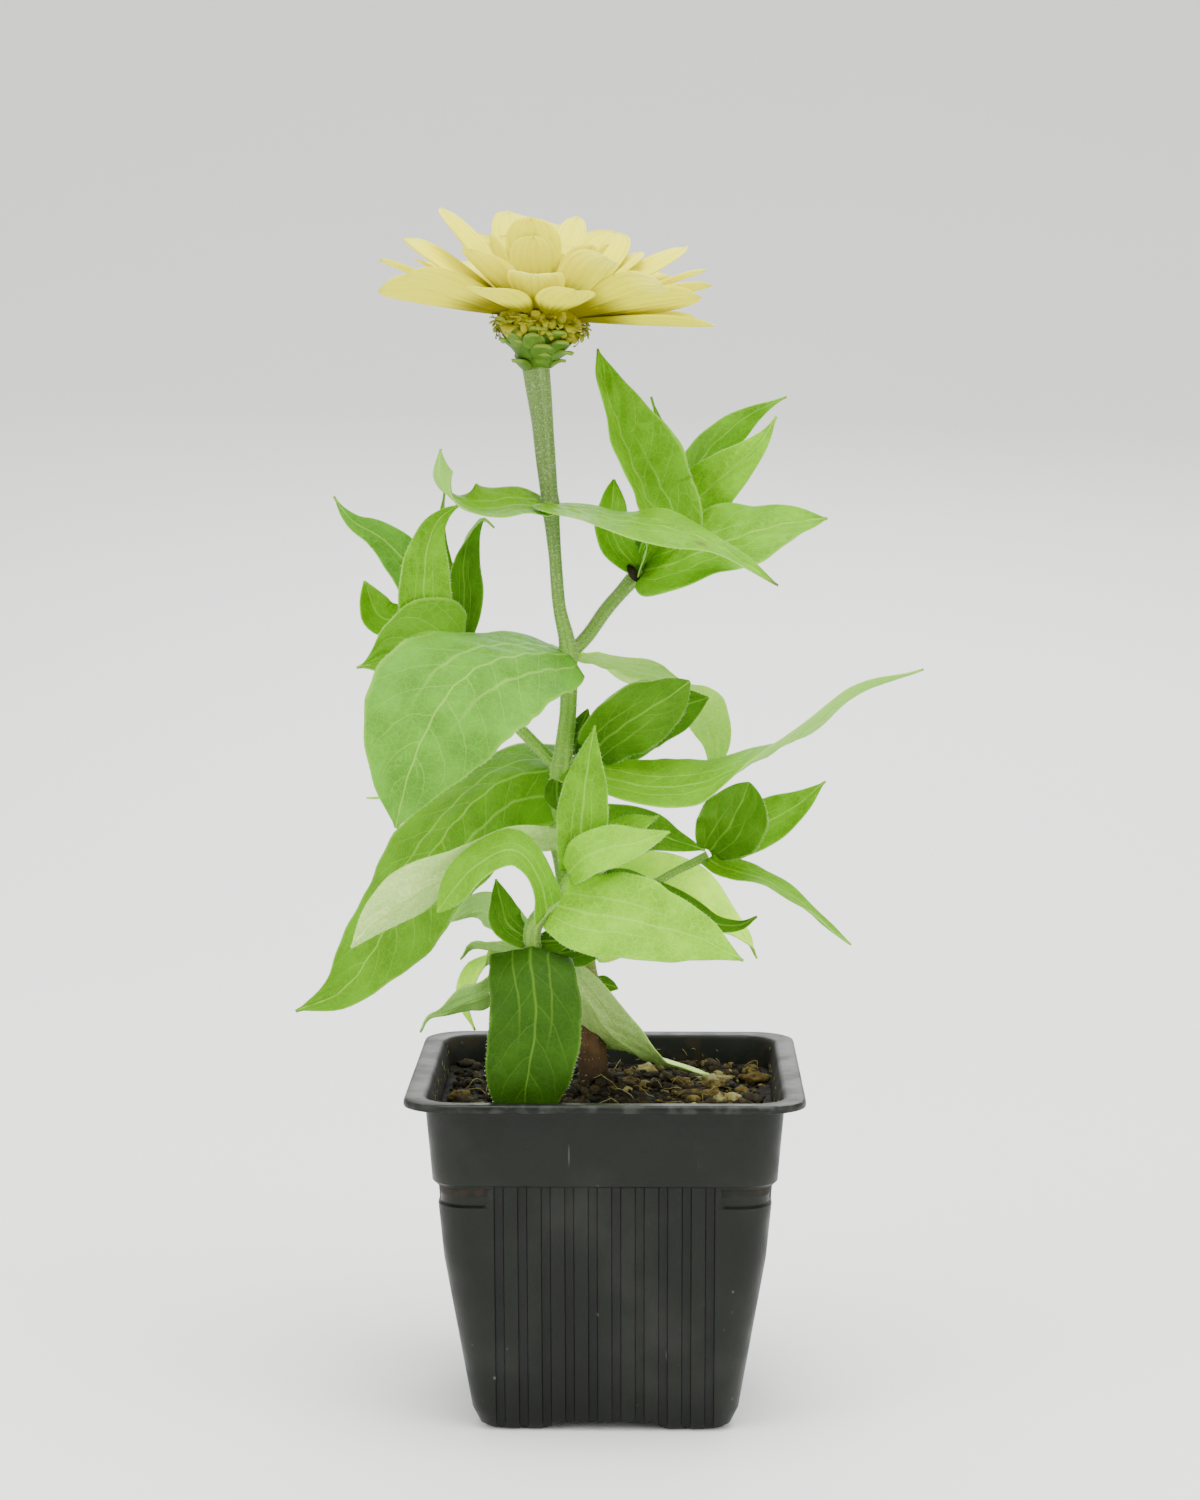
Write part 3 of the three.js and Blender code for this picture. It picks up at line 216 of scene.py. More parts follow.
# Leaves: their half width, their fold at the base and the tip in degrees, their midrib, and
# the way across the blade along it
LEAF_FIELDS = ("name", "look", "half", "shape", "fold", "rib", "across")
LEAVES = [dict(zip(LEAF_FIELDS, row)) for row in (
    ("top_right_leaf", "fresh", 10.5, LANCE, (0, 4),
     [(-14, -2, 209.5), (-6, -7, 208), (3, -11, 206), (12, -13, 204.5), (21, -13, 202),
      (29, -13, 198), (39, -11, 191.5)],
     [(0, -10, -1), (0, -9, -3), (0, -9, -4)]),
    ("top_left_leaf", "fresh", 8, LANCE, (12, 20),
     [(-14, -1, 208.5), (-21, -5, 209), (-29, -8, 208.5), (-34.5, -8, 210.5), (-38, -6, 216),
      (-38, -3, 222)],
     [(0, 9, 4), (0, 9, 4), (-9, 4, 2)]),
    ("upper_left_leaf", "cool", 18.3, (0.38, 0.5, 1), (-14, 6),
     [(-8.5, -1.8, 175), (-17, -12, 176), (-27, -22, 174), (-34.5, -29, 168.5), (-40, -33, 159.5),
      (-44, -34, 149), (-46.5, -32, 138.5)],
     [(0, 9, 3), (-6, 6, 5), (-9, 1, 2), (-9, 0, 2)]),
    ("upper_back_leaf", "thin", 13, OVATE, (10, 5),
     [(-8, 1.5, 175), (1.5, 12, 171), (11, 20, 166), (20.5, 26, 160.5), (25.5, 29, 152),
      (24.5, 29, 143)],
     [(5, -8, 0), (8, -5, 0)]),
    ("middle_left_leaf", "bright", 16, (0.75, 0.4, 1.1), (-25, 8),
     [(-11.5, 1.8, 148), (-23.5, 4, 145.5), (-33.5, 5, 137.5), (-43, 6, 124.5), (-52.5, 7, 108.5),
      (-62, 7, 95.5), (-73.5, 7, 90)],
     [(0, 7, 7), (-4, 6, 6), (-4, 3, 7)]),
    ("middle_right_leaf", "fresh", 9.5, LANCE, (10, 5),
     [(-9, -1.8, 148), (0.5, -6, 146.5), (10.5, -9, 145), (21.5, -9, 146), (31, -9, 150),
      (44, -8, 157), (58, -6, 167), (72.5, -4, 172)],
     [(0, -9, -5), (0, -9, -5), (0, -9, 4), (0, -9, 4)]),
    ("lower_left_leaf", "pale", 9.2, (0.5, 0.55, 1), (8, 8),
     [(-10.5, -2.2, 130.8), (-17, -9, 131.5), (-24, -14, 131), (-32.5, -18, 128), (-40, -20, 124),
      (-46.5, -20, 120), (-52, -19, 115.5), (-58, -17, 109)],
     [(-1, 8, -4), (-2, 7, -6), (6, 4, -6)]),
    ("hidden_left_leaf", "thin", 4.5, SLIM, (8, 8),
     [(-11, 2.4, 131), (-20.5, 15, 134.5), (-32.5, 23, 137.5), (-44.5, 26, 138.5), (-58, 25, 138.5)],
     [(0, 9, 3)]),
    ("lower_back_leaf", "bright", 7, OVATE, (8, 8),
     [(-10, 2.3, 132), (-2, 10, 132), (7.5, 16, 132), (16, 20, 129), (23, 22, 126.5)],
     [(3, -6, -7), (1, -4, -9)]),
    ("right_shoot_leaf_1", "fresh", 12.2, (0.45, 0.38, 1), (46, 36),
     [(7.5, 13, 193), (11, 11, 205), (8.5, 10, 211.5), (5, 9, 220.5), (2, 9, 228.5),
      (-1, 10, 236.5), (-2.5, 12, 245)],
     [(8, 6, 1)]),
    ("right_shoot_leaf_2", "fresh", 7, LANCE, (12, 10),
     [(8.8, 15.2, 194.5), (12, 19, 200), (17, 21, 211.5), (22, 21, 220), (28, 19, 226),
      (34, 16, 230.5), (41.5, 13, 234)],
     [(5, 7, -5), (5, 5, -6)]),
    ("right_shoot_leaf_3", "young", 6.8, LANCE, (12, 10),
     [(9.5, 14, 194.5), (13, 17.5, 199), (16, 19, 203.5), (22, 18, 211), (28, 14, 216.5),
      (33, 11, 221), (36.5, 9, 225), (39, 8, 229.5)],
     [(5, -1, -7), (6, -1, -6)]),
    ("right_shoot_leaf_4", "fresh", 12.5, (0.4, 0.42, 1), (8, 5),
     [(8.5, 11.7, 193.5), (15, 5, 195.5), (25, 4, 199.5), (35, 5, 203), (42.5, 7, 205), (51, 9, 206)],
     [(0, -8, -6)]),
    ("right_shoot_leaf_5", "fresh", 4.6, SMALL, (25, 15),
     [(6.5, 12, 194.3), (2, 9, 200), (0.5, 7, 205.5), (1, 6, 210), (1.5, 7, 215)],
     [(9, 3, 1)]),
    ("left_shoot_leaf_1", "fresh", 6.5, LANCE, (20, 15),
     [(-37.4, 3, 172.8), (-41.2, 0.5, 177), (-42, -1, 184), (-42, -2, 194), (-40.5, -2, 202.5),
      (-37.5, -1, 207), (-33.5, 0, 209.5)],
     [(9, 2, 0)]),
    ("left_shoot_leaf_2", "deep", 4.8, LANCE, (40, 30),
     [(-35.8, 5.4, 174.6), (-33.5, 6, 185), (-33.5, 6, 195.5), (-32.5, 6, 201), (-30.5, 5, 204.5),
      (-28.5, 4, 206), (-26, 3, 204)],
     [(9, 3, 0), (9, 3, 0), (0, 9, 0)]),
    ("left_shoot_leaf_3", "bright", 13, (0.35, 0.4, 1.5), (5, 10),
     [(-34, 2.6, 171), (-33.5, -1.5, 173), (-35, -4, 174.5), (-41.5, -7, 176), (-47, -9, 175.5),
      (-52, -10, 174), (-57, -10, 172.5)],
     [(0, 3, 9), (-2, 4, 9)]),
    ("left_shoot_leaf_4", "cool", 5.6, LANCE, (10, 10),
     [(-37, 5.5, 174.5), (-43.5, 9, 189), (-48.5, 10, 197), (-54, 10, 202), (-58.5, 9, 204.5),
      (-61.5, 8, 207.5), (-63.5, 7, 211)],
     [(5, 4, 5)]),
    ("left_shoot_leaf_5", "fresh", 4.5, (0.25, 0.7, 0.9), (15, 25),
     [(-37.5, 6.5, 174.5), (-48, 9, 181), (-53, 8, 183), (-55, 7, 186.5), (-56.5, 6, 191.5)],
     [(5, 2, 7), (8, 3, 3)]),
    ("middle_shoot_leaf_1", "deep", 8, (0.55, 0.5, 0.75), (12, 8),
     [(-3, -2.5, 152.5), (0.5, -5, 156.5), (7, -8, 161.5), (13.5, -9, 165.5), (19, -9, 169.5)],
     [(6, 2, -7)]),
    ("middle_shoot_leaf_2", "deep", 8.5, (0.5, 0.5, 0.85), (12, 8),
     [(-3.2, -0.9, 152.8), (-2, 2.5, 153.5), (0.5, 5, 155), (8.5, 6, 160.5), (17, 6, 162.5),
      (23.5, 5, 164.5)],
     [(6, 2, -7), (4, 1, -8)]),
    ("front_shoot_leaf_1", "fresh", 6, LANCE, (15, 15),
     [(-7.5, -16, 126.5), (-6, -16, 134), (-5, -17, 143.5), (-4, -17, 151.5), (-2.5, -16, 160)],
     [(9, 1, -1), (9, 0, -1)]),
    ("front_shoot_leaf_2", "young", 5.6, OVATE, (12, 10),
     [(-8.3, -18.5, 126.3), (-5, -21, 130), (0, -22, 132.5), (6.5, -23, 134), (14.5, -22, 136.5)],
     [(3, -5, -7)]),
    ("front_shoot_leaf_3", "young", 5, LANCE, (10, 10),
     [(-6.8, -16.2, 126), (-1, -12, 131), (5.5, -12, 136), (12, -13, 139)],
     [(4, -4, -7)]),
    ("front_shoot_leaf_4", "fresh", 5.8, (0.75, 0.65, 0.8), (15, 8),
     [(-13.5, -21, 117.5), (-14.5, -24, 123.5), (-17, -27, 129.5), (-20.5, -29, 133),
      (-25, -30, 132), (-29.5, -30, 129), (-33.5, -29, 124.5), (-37.5, -28, 119)],
     [(7, 7, 0), (0, 8, 6), (-7, 4, 5)]),
    ("front_shoot_leaf_5", "young", 10.4, OVATE, (10, 5),
     [(-11.5, -20, 119.5), (-3.5, -24, 118), (4, -27, 117.5), (11, -28, 116), (20, -27, 113.5),
      (31, -24, 107.5)],
     [(0, -5, -8)]),
    ("front_shoot_leaf_6", "dark", 10.3, (0.85, 0.6, 0.25), (-12, 6),
     [(-16.3, -19.8, 109.5), (-17, -23.5, 109.5), (-16.5, -29, 106), (-15.5, -33, 100),
      (-15.5, -35, 93.5), (-16.5, -36, 87), (-17.5, -35.5, 81), (-18, -34, 74.8)],
     [(-9, 0, 0)]),
    ("front_shoot_leaf_7", "pale", 7.3, LANCE, (8, 12),
     [(-11, -11.5, 104), (-4, -9, 95), (0, -5, 88), (6.5, -1, 82), (11, 3, 79), (17.5, 6, 77),
      (24, 11, 74.5)],
     [(7, -4, 5), (6, -6, 3), (1, -9, -4)]),
    ("front_shoot_leaf_8", "dull", 5.6, (0.55, 0.35, 1.8), (5, 5),
     [(-17, -18.5, 107.5), (-26.5, -20, 99.5), (-32, -19, 97), (-36.5, -18, 94.5), (-40.5, -17, 93),
      (-42.5, -16, 89.5)],
     [(0, 7, -7)]),
    ("front_shoot_leaf_9", "thin", 5, LANCE, (5, 5),
     [(-12.5, -11, 105), (-18, -5, 105.5), (-25, 4, 103.5), (-31.5, 6, 99.5), (-34, 6, 93),
      (-31, 5, 86)],
     [(0, 8, -4), (-7, 4, 0)]),
    ("front_shoot_leaf_10", "dull", 6.5, LANCE, (5, 5),
     [(-16.5, -17.5, 111.5), (-24.5, -12, 115.5), (-30, -10, 117), (-36, -9, 114)],
     [(0, 6, -8)]),
    ("front_shoot_leaf_11", "deep", 4.2, OVATE, (15, 15),
     [(-17.5, -19, 111), (-22.5, -18.5, 115), (-24, -18, 120.5), (-25, -17, 125)],
     [(9, 3, 1)]),
    ("front_shoot_leaf_12", "deep", 4.5, OVATE, (10, 10),
     [(-10, -17.5, 121), (-1.5, -13, 122), (5.5, -11, 123.5), (12.5, -9, 122)],
     [(0, -5, -8)]),
    ("front_shoot_leaf_13", "deep", 4.2, OVATE, (10, 10),
     [(-13, -16, 107.5), (-8.5, -14, 107.5), (-3, -12, 108), (1.5, -11, 110)],
     [(0, -6, -7)]),
    ("low_shoot_leaf_1", "deep", 8.5, (0.4, 0.5, 0.7), (20, 12),
     [(24, 8.4, 128.3), (28, 5, 134), (31, 3, 140), (33, 3, 145)],
     [(9, 1, -4)]),
    ("low_shoot_leaf_2", "fresh", 6, LANCE, (10, 10),
     [(24.2, 9.8, 127.3), (31, 10.5, 131), (37, 10, 134.5), (44, 9.5, 138.5), (51, 9, 144.5)],
     [(3, -4, -7)]),
    ("low_shoot_leaf_3", "fresh", 4, (0.8, 0.15, 0.7), (15, 15),
     [(23.4, 8, 126), (26.3, 6.4, 124.4), (30, 5, 123.5), (34.5, 3, 122.5), (39, 2, 120.5),
      (45.5, 0, 116.5), (51, -2, 112), (56.5, -4, 108)],
     [(0, -8, -5), (0, -9, -2)]),
    ("low_shoot_leaf_4", "thin", 12, OVATE, (5, 5),
     [(-6.5, 2.8, 108), (3, 16, 113.5), (13.5, 24, 116), (24, 29, 112), (33, 31, 104), (36, 31, 99)],
     [(2, -5, -8), (4, -3, -7)]),
)]

# Where a leaf's tip is dry, and its stains: place across it and millimetres along it
LEAF_MARKS = {
    "top_right_leaf": {"dry_from": 0.93, "spots": [(0.74, 39)]},
}

# Leaflets at the nodes of the stems
LEAFLET_FIELDS = ("stem", "half", "shape", "rib", "across")
LEAFLETS = [dict(zip(LEAFLET_FIELDS, row), fold=(10, 10)) for row in (
    ("main_stem", 2.5, SMALL,
     [(-8, 1.5, 151.5), (-6.5, 3.5, 157), (-4.5, 3, 162)], [(9, 2, 0)]),
    ("main_stem", 3, SMALL,
     [(-11.5, -1.5, 146), (-11.5, -4, 143), (-11, -3.8, 139)], [(-9, 0, 0)]),
    ("main_stem", 2.3, SMALL,
     [(-4, 3, 95.5), (-1.5, 4.5, 97), (2.5, 5, 96)], [(0, -6, -7)]),
    ("right_shoot_stem", 4, SLIM,
     [(7.5, 13.5, 193), (11, 24, 207), (13, 27, 222.5), (10, 26, 234)], [(9, 3, 0)]),
    ("left_shoot_stem", 3.2, SLIM,
     [(-36, 4.5, 173), (-37.5, 11, 186), (-39.5, 14, 200), (-38, 11, 212)], [(9, 2, 0)]),
    ("front_shoot_stem", 3, SMALL,
     [(-8, -16.5, 123.5), (-3, -15.5, 123.5), (1, -15, 125)], [(2, -5, -7)]),
    ("front_shoot_stem", 2.5, SMALL,
     [(-16, -17.5, 108), (-23, -12, 98), (-27, -9, 87.5)], [(-9, 3, 0)]),
    ("front_shoot_stem", 3.2, SMALL,
     [(-15.5, -17, 107.5), (-25, -7, 107), (-31, -3, 107), (-34, -2, 104)], [(0, 8, -4)]),
    ("front_shoot_stem", 3, SMALL,
     [(-16, -18, 110.5), (-11, -18.5, 111), (-7, -18, 112.5)], [(0, -5, -7)]),
    ("low_shoot_stem", 2.2, SMALL,
     [(11, 8, 120.5), (19.5, 6, 115.5), (25, 5, 111.5), (31, 5, 111), (35, 6, 113)], [(0, -5, -8)]),
)]

# Ray petals that make the bloom's outline, in degrees and millimetres
PETAL_FIELDS = ("turn", "rise", "curl", "hook", "length", "half", "roll")
OUTLINE_PETALS = [dict(zip(PETAL_FIELDS, row)) for row in (
    (197, 9, -4, -12, 31, 6, 26), (213, 13, 0, 0, 29, 6, 16), (238, 28, 0, 0, 26, 6, -10),
    (248, 10, 0, 0, 26, 5.5, 0), (268, 18, 12, -40, 26, 5.6, 0), (256, 62, 8, 0, 21, 5.8, 0),
    (285, 12, 0, 0, 26, 5.5, 0), (301, 31, 8, -40, 26, 5.2, -14), (328, 20, 0, -30, 28, 5.4, -24),
    (340, 12, 0, 0, 32, 5.2, -22), (349, 2, 0, 0, 33, 4.4, -8), (356, 17, 0, 0, 33, 5, -10),
    (7, 22, 2, 0, 33, 4.6, 0), (23, 30, 4, 0, 34, 4.6, 10), (57, 40, 4, 0, 30, 6.8, 8),
    (74, 52, 2, 0, 28, 3.4, 0), (92, 50, 4, 0, 26, 6, 0), (113, 47, 4, 0, 30, 5.6, 0),
    (134, 38, 4, 0, 27, 5.6, 0), (151, 43, 0, 0, 32, 5, 0), (167, 27, 2, 0, 31, 6, -8),
    (182, 17, 0, 0, 32, 5, 0),
)]

# Rings of ray petals between them, each over a span of turn
RING_FIELDS = ("count", "from", "to", "rise", "length", "half")
PETAL_RINGS = [dict(zip(RING_FIELDS, row)) for row in (
    (6, 12, 172, 8, 29, 6.4), (5, 30, 156, 25, 30, 6.6), (4, 38, 144, 40, 26, 6.2),
    (6, 10, 318, 60, 18, 5.4), (3, 40, 310, 74, 12, 4.6),
)]


# Settings


def linear(code):
    """Linear colour of a hexadecimal sRGB one."""
    shares = [int(code[i:i + 2], 16) / 255 for i in (0, 2, 4)]
    return tuple(s / 12.92 if s <= 0.04045 else ((s + 0.055) / 1.055) ** 2.4 for s in shares)


def colour(name, code, words):
    """A colour setting with its default and its tooltip."""
    return bpy.props.FloatVectorProperty(
        name=name, description=words, subtype="COLOR", size=3, min=0, max=1, default=linear(code))


def length(name, millimetres, words):
    """A length setting with its default and its tooltip."""
    return bpy.props.FloatProperty(
        name=name, description=words, subtype="DISTANCE", unit="LENGTH", default=millimetres * MM,
        min=0, precision=5)


class LeafSettings(bpy.types.PropertyGroup):
    """Sizes and colours of the leaves."""

    thickness: length("Thickness", 0.45, "Thickness of a blade beside its midrib")
    vein_step: length("Vein step", 7.5, "Distance between side veins along the midrib")
    hair: length("Hair", 0.45, "Length of the hairs along the margins")
    fresh: colour("Fresh", "5F9705", "Upper side of a common leaf")
    deep: colour("Deep", "447307", "Upper side of the darkest leaves")
    cool: colour("Cool", "558E22", "Upper side of the large blue-green leaf")
    young: colour("Young", "76B10A", "Upper side of the pale young leaves")
    bright: colour("Bright", "528605", "Upper side of a leaf that light shines through")
    # This look is painted light: a bright yellow-green that stands for light shining through a thin
    # leaf from behind
    thin: colour("Thin", "ADF327", "A thin leaf against the light")
    pale: colour("Pale", "C8FA86", "A leaf that shows its grey-green underside")
    dark: colour("Dark", "274905", "Upper side of the darkest leaf")
    dull: colour("Dull", "618E3C", "Upper side of an old leaf")
    dry: colour("Dry", "656130", "Dried tips and spots")
    vein: colour("Vein", "A2D74B", "Midribs and side veins")
    under: colour("Under", "9ED465", "Soft bloom on the underside")


class StemSettings(bpy.types.PropertyGroup):
    """Sizes and colours of the stems."""

    hair: length("Hair", 0.95, "Length of the hairs on the stems")
    upper: colour("Upper", "617E3C", "Main stem under the bloom")
    middle: colour("Middle", "7CAD35", "Stems among the leaves")
    wood: colour("Wood", "69502F", "Woody foot of the main stem")
    hair_colour: colour("Hair colour", "E8EEDC", "Fine hairs on stems and leaf margins")


class BloomSettings(bpy.types.PropertyGroup):
    """Sizes and colours of the bloom."""

    petal: length("Petal", 0.4, "Thickness of a ray petal")
    lemon: colour("Lemon", "FFF900", "Ray petals in their middle")
    cream: colour("Cream", "FFFE69", "Tips of the ray petals")
    # Olive is the claws' own colour and also painted shade deep in the head
    olive: colour("Olive", "6C6500", "Claws of the ray petals, deep in the head")
    # Back is the undersides' own colour and also painted shade on the lower half of each petal
    back: colour("Back", "E2DA00", "Undersides of the ray petals")
    bract: colour("Bract", "4B6C0D", "Bracts under the petals")
    bract_edge: colour("Bract edge", "6F8A2C", "Pale upper edges of the bracts")
    withered: colour("Withered", "958E12", "Withered curls between bracts and petals")
    floret: colour("Floret", "A98A2A", "Florets in the middle of the head")


class PotSettings(bpy.types.PropertyGroup):
    """Sizes and colours of the pot and what fills it."""

    groove_depth: length("Groove depth", 0.5, "Depth of the grooves in the walls")
    plastic: colour("Plastic", "0E110C", "Moulded plastic of the pot")
    dust: colour("Dust", "7C7D76", "Specks of dust and dried water on the pot")
    peat: colour("Peat", "1B1910", "Dark peat")
    bark: colour("Bark", "6F5F29", "Golden brown lumps")
    crust: colour("Crust", "9B9965", "Pale crust on some lumps")


class StageSettings(bpy.types.PropertyGroup):
    """Floor and light of the studio."""

    floor: colour("Floor", "F4F4F2", "Plain pale floor and backdrop")
    key: bpy.props.FloatProperty(
        name="Key light", description="Power that each soft lamp gives its own share of", default=13,
        min=0, unit="POWER")


# Curves and draws


class Draws:
    """A repeatable stream of numbers from 0 to 1."""

    def __init__(self, seed):
        self.state = seed

    def next(self):
        self.state = (self.state * 16807) % LARGEST
        return self.state / LARGEST

    def between(self, low, high):
        return low + (high - low) * self.next()


def unit(vectors):
    """The same vectors with length 1."""
    lengths = np.linalg.norm(vectors, axis=-1, keepdims=True)
    return vectors / np.maximum(lengths, 1e-9)


def smooth_curve(points, shares):
    """Points and directions of the smooth curve through points, at shares of its spans."""
    places = np.array(points, dtype=float)
    places = np.vstack([2 * places[0] - places[1], places, 2 * places[-1] - places[-2]])
    at = np.clip(np.asarray(shares), 0, 1) * (len(points) - 1)
    span = np.minimum(at.astype(int), len(points) - 2)
    t = (at - span)[:, None]
    before, start, end, after = (places[span + i] for i in range(4))
    slope_in, slope_out = (end - before) / 2, (after - start) / 2
    cubic = 2 * start - 2 * end + slope_in + slope_out
    square = -3 * start + 3 * end - 2 * slope_in - slope_out
    spots = start + slope_in * t + square * t ** 2 + cubic * t ** 3
    return spots, unit(slope_in + 2 * square * t + 3 * cubic * t ** 2)


def even_curve(points, shares):
    """Points, directions and length of that curve, at shares of its length."""
    fine = np.linspace(0, 1, 201)
    spots, _ = smooth_curve(points, fine)
    steps = np.linalg.norm(np.diff(spots, axis=0), axis=1)
    run = np.concatenate([[0], np.cumsum(steps)])
    where = np.interp(np.asarray(shares) * run[-1], run, fine)
    spots, ahead = smooth_curve(points, where)
    return spots, ahead, run[-1]


def rows_along(rows, shares):
    """Values at shares of the way through a list of rows at even steps."""
    table = np.array(rows, dtype=float)
    marks = np.linspace(0, 1, len(table))
    return np.stack([np.interp(shares, marks, table[:, i]) for i in range(table.shape[1])], axis=1)


def wave(points, scale, seed):
    """Smooth noise from -1 to 1 at points in millimetres."""
    shift = Vector((seed * 7.3, seed * 3.1, seed * 5.7))
    return np.array([noise.noise(Vector(p) / scale + shift) for p in points])


# Meshes


class Shape:
    """Vertices, faces and painted values that grow into one mesh."""

    def __init__(self):
        self.points = []
        self.faces = []
        self.blade = []
        self.metric = []
        self.paint = []
        self.count = 0

    def add(self, points, faces, blade=None, metric=None, paint=(0, 0, 0)):
        """Adds points in millimetres with their faces, surface places and painted values."""
        points = np.asarray(points, dtype=float).reshape(-1, 3)
        size = len(points)
        self.points.append(points)
        self.faces.extend(tuple(i + self.count for i in face) for face in faces)
        for kept, places in ((self.blade, blade), (self.metric, metric)):
            kept.append(np.zeros((size, 2)) if places is None else np.asarray(places).reshape(-1, 2))
        self.paint.append(np.broadcast_to(np.asarray(paint, dtype=float), (size, 3)))
        self.count += size

    def build(self, name, material, replaces=(), smooth=True):
        """Makes the object, with its surface places as UV maps and its paint as a colour."""
        mesh = bpy.data.meshes.new(name)
        points = np.concatenate(self.points) * MM
        mesh.from_pydata(points.tolist(), [], self.faces)
        corners = np.empty(len(mesh.loops), dtype=np.int32)
        mesh.loops.foreach_get("vertex_index", corners)
        for title, values in (("blade", self.blade), ("metric", self.metric)):
            layer = mesh.uv_layers.new(name=title)
            layer.data.foreach_set("uv", np.concatenate(values)[corners].astype(np.float32).ravel())
        paint = mesh.color_attributes.new("paint", "FLOAT_COLOR", "POINT")
        colours = np.concatenate([np.concatenate(self.paint), np.ones((self.count, 1))], axis=1)
        paint.data.foreach_set("color", colours.astype(np.float32).ravel())
        if smooth:
            mesh.shade_smooth()
        mesh.validate()
        mesh.update()
        piece = bpy.data.objects.new(name, mesh)
        bpy.context.scene.collection.objects.link(piece)
        mesh.materials.append(material)
        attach(piece, "root")
        if replaces:
            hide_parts(*replaces)
        return piece


def grid_faces(rows, columns, start=0, closed=False, flip=False):
    """Faces of a grid of points, in rows, whose columns may close into a ring."""
    faces = []
    wide = columns if closed else columns - 1
    for i in range(rows - 1):
        for j in range(wide):
            after = (j + 1) % columns
            a, b = start + i * columns + j, start + i * columns + after
            face = (a, b, b + columns, a + columns)
            faces.append(face[::-1] if flip else face)
    return faces


def closed_faces(rows, columns, start=0, flip=False):
    """Faces of a grid whose rows close into rings, with both of its ends closed."""
    last = start + (rows - 1) * columns
    faces = grid_faces(rows, columns, start, closed=True)
    faces.append(tuple(range(start, start + columns))[::-1])
    faces.append(tuple(range(last, last + columns)))
    return [face[::-1] for face in faces] if flip else faces


def painted(like, *values):
    """Three painted values at each point of a grid, from numbers or grids."""
    return np.stack([np.broadcast_to(value, like.shape) for value in values], axis=-1)


def surface_normals(grid):
    """Unit normals of a grid of points, over x along."""
    along = np.gradient(grid, axis=0)
    over = np.gradient(grid, axis=1)
    return unit(np.cross(over, along))


def add_sheet(shape, grid, thickness, blade, metric, paint):
    """Adds a closed thin sheet round a grid; paint's first value becomes 1 on its underside."""
    rows, columns = grid.shape[:2]
    half = np.broadcast_to(thickness, (rows, columns))[..., None] / 2
    normals = surface_normals(grid)
    upper, lower = grid + normals * half, grid - normals * half
    size = rows * columns
    faces = grid_faces(rows, columns) + grid_faces(rows, columns, size, flip=True)
    border = [(0, j) for j in range(columns)] + [(i, columns - 1) for i in range(1, rows)]
    border += [(rows - 1, j) for j in range(columns - 2, -1, -1)]
    border += [(i, 0) for i in range(rows - 2, 0, -1)]
    ring = [i * columns + j for i, j in border]
    for k, a in enumerate(ring):
        b = ring[(k + 1) % len(ring)]
        faces.append((b, a, a + size, b + size))
    both = np.stack([paint, paint])
    both[0, ..., 0] = 0
    both[1, ..., 0] = 1
    shape.add(
        np.stack([upper, lower]), faces, np.stack([blade, blade]), np.stack([metric, metric]),
        both.reshape(-1, 3))


def add_tube(shape, spots, radii, sides, paint, ridges=0.0):
    """Adds a round tube along spots, with closed ends and an optional ridged side."""
    spots = np.asarray(spots, dtype=float)
    ahead = unit(np.gradient(spots, axis=0))
    side = unit(np.cross(np.array([0.0, 1.0, 0.0]), ahead) + 1e-6)
    up = np.cross(ahead, side)
    turns = np.linspace(0, 2 * math.pi, sides, endpoint=False)
    reach = np.asarray(radii)[:, None] * (1 + ridges * np.cos(STEM_RIDGES * turns)[None, :])
    ring = up[:, None] * np.cos(turns)[None, :, None] - side[:, None] * np.sin(turns)[None, :, None]
    points = spots[:, None] + ring * reach[..., None]
    along = np.linspace(0, 1, len(spots))
    places = np.stack(np.meshgrid(turns / (2 * math.pi), along), axis=-1)
    shape.add(points, closed_faces(len(spots), sides), places, places, paint)
    return points.reshape(-1, 3), ring.reshape(-1, 3)


def add_hairs(shape, roots, ways, size, draws, count):
    """Adds fine tapering hairs that stand on roots drawn from those given."""
    wide = HAIR_RADIUS
    for _ in range(count):
        i = int(draws.next() * len(roots)) % len(roots)
        lean = np.array([draws.between(-1, 1) for _ in range(3)])
        way = unit(ways[i] + 0.45 * lean)
        long = size * draws.between(0.5, 1.15)
        side = unit(np.cross(way, [0.31, 0.52, 0.79]))
        other = np.cross(way, side)
        root = roots[i] - 0.1 * way
        base = [root + wide * side, root - 0.5 * wide * side + 0.87 * wide * other,
                root - 0.5 * wide * side - 0.87 * wide * other]
        tip = root + way * long - np.array([0, 0, 0.12 * long])
        shape.add([*base, tip], [(0, 1, 3), (1, 2, 3), (2, 0, 3), (2, 1, 0)])


# Shader nodes


